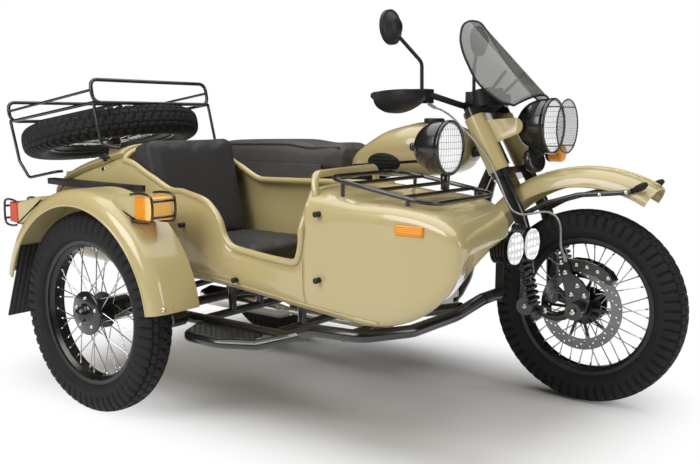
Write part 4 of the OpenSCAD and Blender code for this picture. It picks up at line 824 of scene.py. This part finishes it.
# Handlebar
# Black tube bars with moulded grips, a control block and a mirror each side, two dials on the top yoke, and hand guards
# pressed from black plastic that wrap from the bar's end to the lever's root.
dress(plastic, "instruments", "handlebar", "mirrors")
guard_y = np.array((-190, -150, -90, -30, 14, 40, 54, 59, 60), float)
guard_reach = np.array((60, 84, 92, 84, 64, 44, 24, 10, 1), float)
guard_half = np.array((34, 54, 68, 66, 56, 44, 28, 12, 1), float)


def guard_skin(y, a):
    """Hand guard: part ovals below and ahead of the grip, whose reach and depth follow smooth lines along the bar."""
    reach, half = eased(y, guard_y, guard_reach), eased(y, guard_y, guard_half)
    return np.stack(np.broadcast_arrays(-604 + reach * np.cos(a), 430 + y, 744 + half * np.sin(a)), -1)


y = np.concatenate([np.linspace(-190, 20, 26), np.linspace(20, 60, 19)[1:]])[:, None]
a = np.radians(np.linspace(-88, 14, 33))[None]
for side, flip in (("left", 1), ("right", -1)):
    made = piece(side + "_hand_guard", front(guard_skin(y, a) * np.array((1, flip, 1))),
                 [q[::flip] for q in quads(44, 33)], plastic, "steering", "guard_plastic")
    thick(made, 0.004, -1)
    if side == "left":
        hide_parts("hand_guards")
weight = [(0, 10), (2, 14), (30, 14), (44, 12), (50, 6)]
piece("bar_ends", *joined(*(turned(weight, front((-622, s * 436, 736)), (0.35, s, 0), 24) for s in (-1, 1))), plastic,
      "steering", "guard_plastic")
silvered, feed, place = finish("mirror_glass", Metallic=1.0, Roughness=0.03)
feed("Base Color", tint(mottle(place, 20.0), grey(0.78), grey(0.84)))
mirror = [(6.5, 59), (7.6, 58), (7.8, 0.5)]
piece("mirror_glasses", *joined(*(turned(mirror, front((-640, s * 330, 980)), (-0.9976, 0, -0.0698), 48)
                                  for s in (-1, 1))), silvered, "steering", "screen")

# Windscreen
# A single curved sheet of smoked acrylic with a black edging, carried by two stays above the headlamp.
smoke, feed, place = finish("smoked_acrylic", Roughness=0.04, Alpha=0.64)
feed("Base Color", tint(mottle(place, 3.0), (0.12, 0.125, 0.112, 1), (0.16, 0.165, 0.148, 1)))
screen_foot, screen_up = np.array((-199.5, 0, 746)), np.array((-276, 0, 276.0))
screen_out = np.array((0.7071, 0, 0.7071))
screen_share = np.array((0, 0.1, 0.35, 0.6, 0.8, 0.92, 0.98, 1.0))
screen_half = np.array((150, 176, 188, 172, 146, 112, 80, 50), float)


def screen_skin(up, s, proud=0.0):
    """Windscreen: a sheet up a sloped line that bends back with the square of the distance from its middle, its half
    width on a smooth line."""
    y = eased(up, screen_share, screen_half) * s
    return front(screen_foot + screen_up * up[..., None] + y[..., None] * np.array((0, 1, 0))
                 + (proud - 0.0024 * y * y)[..., None] * screen_out)


up, s = np.meshgrid(np.concatenate([np.linspace(0, 0.8, 24), np.linspace(0.8, 1, 24)[1:]]), np.linspace(-1, 1, 41),
                    indexing="ij")
screen = piece("screen_sheet", screen_skin(up, s), turned_over(quads(47, 41)), smoke, "steering", "screen")
thick(screen, 0.004, -1)
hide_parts("windscreen")
edge = np.concatenate([screen_skin(up[:, :1], s[:, :1], -2.0)[:, 0], screen_skin(up[-1:], s[-1:], -2.0)[0, 1:-1],
                       screen_skin(up[::-1, -1:], s[:, -1:], -2.0)[:, 0], screen_skin(up[:1], s[:1], -2.0)[0, ::-1]])
piece("screen_edging", *tube(smooth_line(edge, 260), 0.0042, 8), soot, "steering", "rubber")

# Sidecar body
# A pressed steel tub, closed at the nose and over the trunk, open over the seat and cut down at the side for the
# step. Its edges are rolled over a wire, and the whole is sprayed sand inside and out.
body_x = np.array((-345, -331, -285, -200, -60, 100, 230, 360, 520, 760, 980, 1150), float)
side_y = 145
body_outer = side_y + np.array((120, 62, 44, 42, 40, 38, 36, 33, 28, 16, 2, 0), float)
body_inner = 680 - np.array((70, 30, 14, 4, 0, 0, 0, 0, 0, 0, 0, 2), float)
body_low = np.array((200, 150, 112, 104, 102, 102, 102, 100, 96, 82, 64, 56), float)
body_top = np.array((360, 402, 434, 468, 505, 545, 490, 438, 440, 446, 450, 429), float)
body_mid = np.array((280, 276, 273, 286, 303, 323, 296, 269, 268, 264, 262, 296), float)
body_square = np.array((0.8, 0.6, 0.46, 0.4, 0.36, 0.36, 0.36, 0.36, 0.36, 0.36, 0.36, 0.27))
nose_foot, nose_run, nose_slant = 1150.0, 350.0, 0.22
cockpit_rear, cockpit_fore, trunk_rear, trunk_fore = 92, 966, -230, 30
entry_x = np.array((92, 118, 256, 390, 523, 562, 600, 621, 658, 711, 911, 938, 952, 962, 966), float)
entry_z = np.array((560, 540, 454, 412, 388, 367, 327, 281, 250, 242, 230, 236, 262, 330, 452), float)


def body_section(x):
    """Centre, half width, heights above and below the widest line, and corner exponent of the tub's section at x.
    Along the nose the heights close in as two squared ovals, blunt above and longer below, and the width only at its
    tip."""
    outer, inner, low, top, mid, square = (eased(np.minimum(x, nose_foot), body_x, v) for v in (
        body_outer, body_inner, body_low, body_top, body_mid, body_square))
    g = np.clip((x - nose_foot) / nose_run, 0, 1)
    return ((outer + inner) / 2, mid, (inner - outer) / 2 * (1 - g ** 14) ** (1 / 14),
            (top - mid) * (1 - g ** 2.8) ** (1 / 2.8), (mid - low) * (1 - g ** 1.9) ** (1 / 1.9), square, g)


def body_skin(x, a, sink=0.0):
    """Tub: the section at x, at angle a from its inner side over the roof. The nose's sections lean back inboard, and
    more so towards their underside."""
    yc, zc, ry, up, down, e, g = body_section(x)
    y, s = yc + (ry - sink) * curl(np.cos(a), e), curl(np.sin(a), e)
    lean_back = (nose_slant + 0.26 * np.maximum(-s, 0) ** 1.5) * g * (y - side_y)
    return np.stack(np.broadcast_arrays(x - lean_back, y, zc + (np.where(s > 0, up, down) - sink) * s), -1)


def angle_at_y(x, y):
    """Angle of the roof point at a given y."""
    yc, zc, ry, up, down, e, g = body_section(x)
    return np.arccos(curl(np.clip((y - yc) / ry, -0.995, 0.995), 1 / e))


def angle_at_z(x, z):
    """Angle of the outer side's point at a given height."""
    yc, zc, ry, up, down, e, g = body_section(x)
    return np.pi - np.arcsin(curl(np.clip((z - zc) / np.where(z > zc, up, down), -1, 1), 1 / e))


stretches = ((-345, -331, 5), (-331, trunk_rear, 12), (trunk_rear, trunk_fore, 24), (trunk_fore, cockpit_rear, 8),
             (cockpit_rear, 540, 44), (540, 730, 40), (730, 930, 18), (930, cockpit_fore, 22),
             (cockpit_fore, nose_foot, 18), (nose_foot, nose_foot + 0.75 * nose_run, 34))
tip = nose_foot + nose_run * (1 - np.geomspace(0.25, 2e-5, 36))
xs = np.unique(np.concatenate([np.linspace(*stretch) for stretch in stretches] + [tip]).round(9))
forward = np.clip((xs - cockpit_rear) / (cockpit_fore - cockpit_rear), 0, 1)
inner_rim = np.maximum(angle_at_y(xs, 646 - 22 * forward), 0.15)
outer_roof = np.minimum(angle_at_y(xs, 199 - 4 * forward), np.pi - 0.15)
cockpit = (xs > cockpit_rear - 1e-6) & (xs < cockpit_fore + 1e-6)
outer_rim = np.where(cockpit, np.maximum(angle_at_z(xs, eased(xs, entry_x, entry_z)), outer_roof), outer_roof)
trunk_in = np.clip(angle_at_y(xs, 620), inner_rim + 0.02, outer_rim - 0.04)
trunk_out = np.clip(angle_at_y(xs, 245), trunk_in + 0.01, outer_rim - 0.02)


def spread(start, end, count):
    """Rows of angles from start towards end, the end left out."""
    return start[:, None] + (end - start)[:, None] * np.linspace(0, 1, count + 1)[:-1][None]


low_cols = 88
around = np.hstack([spread(outer_rim, inner_rim + 2 * np.pi, low_cols), spread(inner_rim, trunk_in, 6) + 2 * np.pi,
                    spread(trunk_in, trunk_out, 20) + 2 * np.pi, spread(trunk_out, outer_rim, 6) + 2 * np.pi])
skin = car(body_skin(xs[:, None], around))
rows, cols = around.shape
middle = (xs[1:] + xs[:-1])[:, None] / 2 + np.zeros((1, cols))
line = np.arange(cols)[None] + np.zeros((rows - 1, 1))
cut = (middle > cockpit_rear) & (middle < cockpit_fore) & (line >= low_cols)
cut |= (middle > trunk_rear) & (middle < trunk_fore) & (line >= low_cols + 6) & (line < low_cols + 26)
faces = [f[::-1] for f, gone in zip(quads(rows, cols, wrap_cols=True), cut.ravel()) if not gone]
faces += turned_over(capped(rows, cols)[-2:])
tub = piece("body_tub", skin, faces, sand, "chassis", "paint")
thick(tub, 0.006, -1)
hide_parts("sidecar_body")
inside = np.flatnonzero(cockpit)
rim = np.vstack([skin[inside, 0], skin[inside[-1], low_cols:][::-1], skin[inside[::-1], low_cols],
                 skin[inside[0], low_cols:], skin[inside[0], :1]])
rim_line = smooth_line(rim[np.r_[0:len(rim):2, len(rim) - 1]], 420)
piece("cockpit_bead", *tube(rim_line, 0.011, 10), sand, "chassis", "paint")
ring = np.linspace(0, 2 * np.pi, 73)[:-1][None]
bulkhead = car(body_skin(cockpit_rear + np.array((0.0, 6.0))[:, None], ring, 5.0))
piece("seat_bulkhead", bulkhead, turned_over(capped(2, 72)), sand, "chassis", "paint", False)
x = np.linspace(420, 1230, 90)
sill = car(body_skin(x, angle_at_z(x, 143 - 0.068 * (x - 420)), -1.0))
piece("sill_bead", *tube(sill, 0.004, 8), sand, "chassis", "paint")
x, z = np.linspace(1292, 1384, 24)[:, None], np.linspace(346, 375, 12)[None]
x, z = x + 0 * z, z + 0 * x
edge = np.minimum(np.minimum(x - 1292, 1384 - x) / 5, np.minimum(z - 346, 375 - z) / 5)
marker = body_skin(x, angle_at_z(x, z), -9 * np.clip(edge, 0, 1) ** 0.5 - 0.4)
marker = piece("side_marker", car(marker), quads(24, 12), amber, "chassis", "amber")
thick(marker, 0.003, -1)
peg = [(-3, 5), (0, 9), (3, 9), (5, 5), (12, 5), (14, 9), (19, 9), (22, 5)]
peg_x, peg_z = np.array(((1024, 384), (1028, 190), (669, 143), (420, 300), (130, 300)), float).T
piece("cover_pegs", *joined(*(turned(peg, place, (0, -1, 0), 16) for place in
                              car(body_skin(peg_x, angle_at_z(peg_x, peg_z))))), plastic, "chassis", "black_paint")
lug = [(-353, 360), (-329, 360), (-329, 442), (-353, 442)]
piece("lid_lugs", *joined(*(placed(slab(lug, y, y + 26), car) for y in (265, 590)),
                          tube(car([(-345, y, 430) for y in (262, 440, 619)]), 0.006)), sand, "chassis", "paint", False)

# Seats
# Foam cushions under dark grey vinyl: the rider's bench, and the passenger's squab and backrest.


def grained(name, low, high, rough):
    """Vinyl: worn patches between two colours over a leather grain."""
    made, feed, place = finish(name, Roughness=rough, Specular_IOR_Level=0.3)
    worn = mottle(place, 8.0, 4.0)
    feed("Base Color", tint(worn, low, high))
    feed("Normal", relief(place.node("TexVoronoi", {"feature": "F1"}, {"Vector": place, "Scale": 420.0}), 0.0005, 0.5))
    return made, feed, worn


vinyl, feed, worn = grained("grey_vinyl", grey(0.030), grey(0.048, 0.03), 0.5)
feed("Roughness", 0.42 + worn * 0.2)
saddle = grained("saddle_vinyl", grey(0.062, 0.02), grey(0.095, 0.05), 0.55)[0]
bench_x = np.array((-290, -240, -60, 150, 300, 420, 458), float)
bench_share = np.array((0.72, 0.9, 1, 1, 0.98, 0.86, 0.7))
bench_drop = np.array((40, 12, 4, 0, 12, 8, 22), float)


def bench_skin(x, a):
    """Bench: squared ovals across X with a flat underside, width and top from smooth lines along it."""
    half, drop = eased(x, bench_x, bench_share * 150), eased(x, bench_x, bench_drop)
    z = np.maximum(552 - drop - 59 + 59 * curl(np.sin(a), 0.5), 446)
    return bike(np.stack(np.broadcast_arrays(x, half * curl(np.cos(a), 0.5), z), -1))


x = np.concatenate([np.linspace(-290, -240, 10), np.linspace(-240, 420, 60)[1:], np.linspace(420, 458, 8)[1:]])
x = x[:, None]
a = np.linspace(0, 2 * np.pi, 73)[:-1][None]
bench = piece("bench_cushion", bench_skin(x, a), turned_over(capped(len(x), 72)), saddle, "chassis", "vinyl")
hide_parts("rider_seat")


def puffed(made, cap, voxel=0.008):
    """Swells a closed cushion as cloth under pressure, and holds back any point that would move further than a cap."""
    scene = bpy.context.scene
    loose = bpy.data.objects.new("swelling", made.data.copy())
    scene.collection.objects.link(loose)
    even = loose.modifiers.new("even", "REMESH")
    even.mode, even.voxel_size = "VOXEL", voxel
    mesh = bpy.data.meshes.new_from_object(loose.evaluated_get(bpy.context.evaluated_depsgraph_get()))
    loose.modifiers.clear()
    loose.data = mesh
    rest = np.empty(len(mesh.vertices) * 3)
    mesh.vertices.foreach_get("co", rest)
    cloth = loose.modifiers.new("swell", "CLOTH").settings
    cloth.quality, cloth.mass = 5, 0.3
    cloth.use_pressure, cloth.uniform_pressure_force = True, 4.0
    cloth.effector_weights.gravity = 0
    for frame_number in range(1, 21):
        scene.frame_set(frame_number)
    grown = bpy.data.meshes.new_from_object(loose.evaluated_get(bpy.context.evaluated_depsgraph_get()))
    moved = np.empty_like(rest)
    grown.vertices.foreach_get("co", moved)
    step = (moved - rest).reshape(-1, 3)
    far = np.maximum(np.linalg.norm(step, axis=1), 1e-9)[:, None]
    grown.vertices.foreach_set("co", (rest.reshape(-1, 3) + step * np.minimum(1, cap / far)).ravel())
    grown.polygons.foreach_set("use_smooth", [True] * len(grown.polygons))
    grown.materials.clear()
    grown.materials.append(made.data.materials[0])
    scene.frame_set(1)
    bpy.data.objects.remove(loose)
    made.data = grown
    finer = made.modifiers.new("finer", "SUBSURF")
    finer.levels = finer.render_levels = 1


puffed(bench, 0.012)
skirt = [(-200, 466), (360, 466), (356, 404), (330, 378), (300, 370), (-150, 366), (-182, 376), (-198, 402)]
skirts = piece("bench_skirts", *joined(*(placed(slab(skirt, y - 4, y + 4), bike) for y in (-137, 137))), saddle,
               "chassis", "vinyl", False)
chamfered(skirts, 0.003)
x = np.linspace(-252, 432, 80)
piping = [tube(bench_skin(x, np.full(80, a)) + np.array((0, 0, 0.003)), 0.0045, 8) for a in np.radians((48, 132))]
piece("bench_piping", *joined(*piping), saddle, "chassis", "vinyl")


def cushion_skin(size, square, turn, rise):
    """Cushion about its centre: a ball whose three axes are squared off by a signed power and stretched to a size."""
    c = curl(np.cos(rise), square)
    return np.stack(np.broadcast_arrays(size[0] / 2 * c * curl(np.cos(turn), square),
                                        size[1] / 2 * c * curl(np.sin(turn), square),
                                        size[2] / 2 * curl(np.sin(rise), square)), -1)


turn = np.linspace(0, 2 * np.pi, 97)[:-1][None]
rise = np.linspace(-np.pi / 2, np.pi / 2, 61)[:, None]
tilt = np.radians(14)
lean = np.array(((np.cos(tilt), 0, -np.sin(tilt)), (0, 1, 0), (np.sin(tilt), 0, np.cos(tilt))))
rear_pad = cushion_skin((92, 436, 398), 0.16, turn, rise) @ lean.T + np.array((205, 422, 384))
squab = cushion_skin((374, 432, 118), 0.18, turn, rise) + np.array((462, 422, 168))
for name, points, node in (("backrest_cushion", rear_pad, "seat_back"), ("squab_cushion", squab, "seat_base")):
    made = piece(name, car(points), turned_over(quads(61, 96, wrap_cols=True)), vinyl, "chassis", "vinyl")
    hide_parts(node)
    puffed(made, 0.010)

# Step, flap and pad
# A chequered steel tread on the step hoop, a ribbed rubber mud flap behind the wheel and a rubber pad over the
# fender.
tread_plate, feed, place = finish("chequer_plate", Roughness=0.35)
mirrored = place.node("Mapping", {"vector_type": "POINT"}, {"Vector": place, "Rotation": (0, 0, np.pi / 2)})
slanted = {"bands_direction": "DIAGONAL", "wave_profile": "SIN"}
one, other = (place.node("TexWave", slanted, {"Vector": v, "Scale": 26.0}) for v in (place, mirrored))
bars = one.math("MAXIMUM", one, other) > 0.82
feed("Base Color", tint(bars, grey(0.012), grey(0.035)))
feed("Roughness", 0.42 - bars * 0.15)
feed("Normal", relief(bars, 0.003))
dress(tread_plate, "step_plate")
ribbed, feed, place = finish("ribbed_rubber", Roughness=0.6)
ribs = place.node("TexWave", {"bands_direction": "Y"}, {"Vector": place, "Scale": 16.0})
feed("Base Color", tint(ribs, grey(0.012), grey(0.022)))
feed("Normal", relief(ribs, 0.004))
dress(ribbed, "mud_flap", "fender_pad")

# Trunk lid
# A pressed steel lid in sand paint, its folded flange closing down to the body's skin all round. It turns on two
# knuckles at the tail, locks at its outer flange and carries the spare wheel on a post.
rolled = np.array((0, 0.2, 0.8, 1.8, 3.4, 6.0))
x = np.concatenate([-322 + rolled, np.linspace(-310, 76, 50), 88 - rolled[::-1]])
share = np.concatenate([rolled, np.linspace(12, 433, 40), 445 - rolled[::-1]])[None] / 445
inner_edge, outer_edge = angle_at_y(x, 652.0), angle_at_y(x, 207.0)
inset = np.minimum(np.minimum(x + 322, 88 - x)[:, None], 445 * np.minimum(share, 1 - share))
proud = 2 + 17 * np.sqrt(1 - (1 - np.clip(inset / 6, 0, 1)) ** 2)
lid_points = body_skin(x[:, None], inner_edge[:, None] + (outer_edge - inner_edge)[:, None] * share, -proud)
lid = piece("lid_sheet", car(lid_points), turned_over(quads(*inset.shape)), sand, "trunk_lid", "paint")
thick(lid, 0.003, -1)
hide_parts("trunk_lid")
post_foot = spare_hub + 0.001 * tipped @ np.array((0, 0, -131.0))
knuckle, strap = [(0, 6.5), (0, 12), (30, 12), (30, 6.5)], [(-345, 424), (-300, 426), (-300, 438), (-345, 436)]
knuckles = [turned(knuckle, car((-345, y, 430)), (0, 1, 0), 24) for y in (292, 617)]
straps = [placed(slab(strap, y, y + 30), car) for y in (292, 617)]
post = turned([(0, 25), (60, 25), (66, 22), (88, 22)], post_foot, tipped @ np.array((0, 0, 1.0)), 36)
piece("lid_hinge_and_post", *joined(*knuckles, *straps, post), sand, "trunk_lid", "paint", False)
piece("lid_latch", *joined(turned([(0, 16), (4, 16), (7, 12), (9, 0.5)], car((-16, 199, 512)), (0, -1, 0), 28),
                           placed(slab([(-30, 506), (18, 508), (18, 518), (-30, 520)], 184, 191), car)),
      plastic, "trunk_lid", "black_paint")
lock_x = np.float64(-24)
lock_place = car(body_skin(lock_x, angle_at_z(lock_x, 468)))
piece("trunk_lock", *turned([(0, 10), (3, 10), (4, 8), (4, 0.5)], lock_place, (0, -1, 0.2), 24), bright, "chassis",
      "steel")
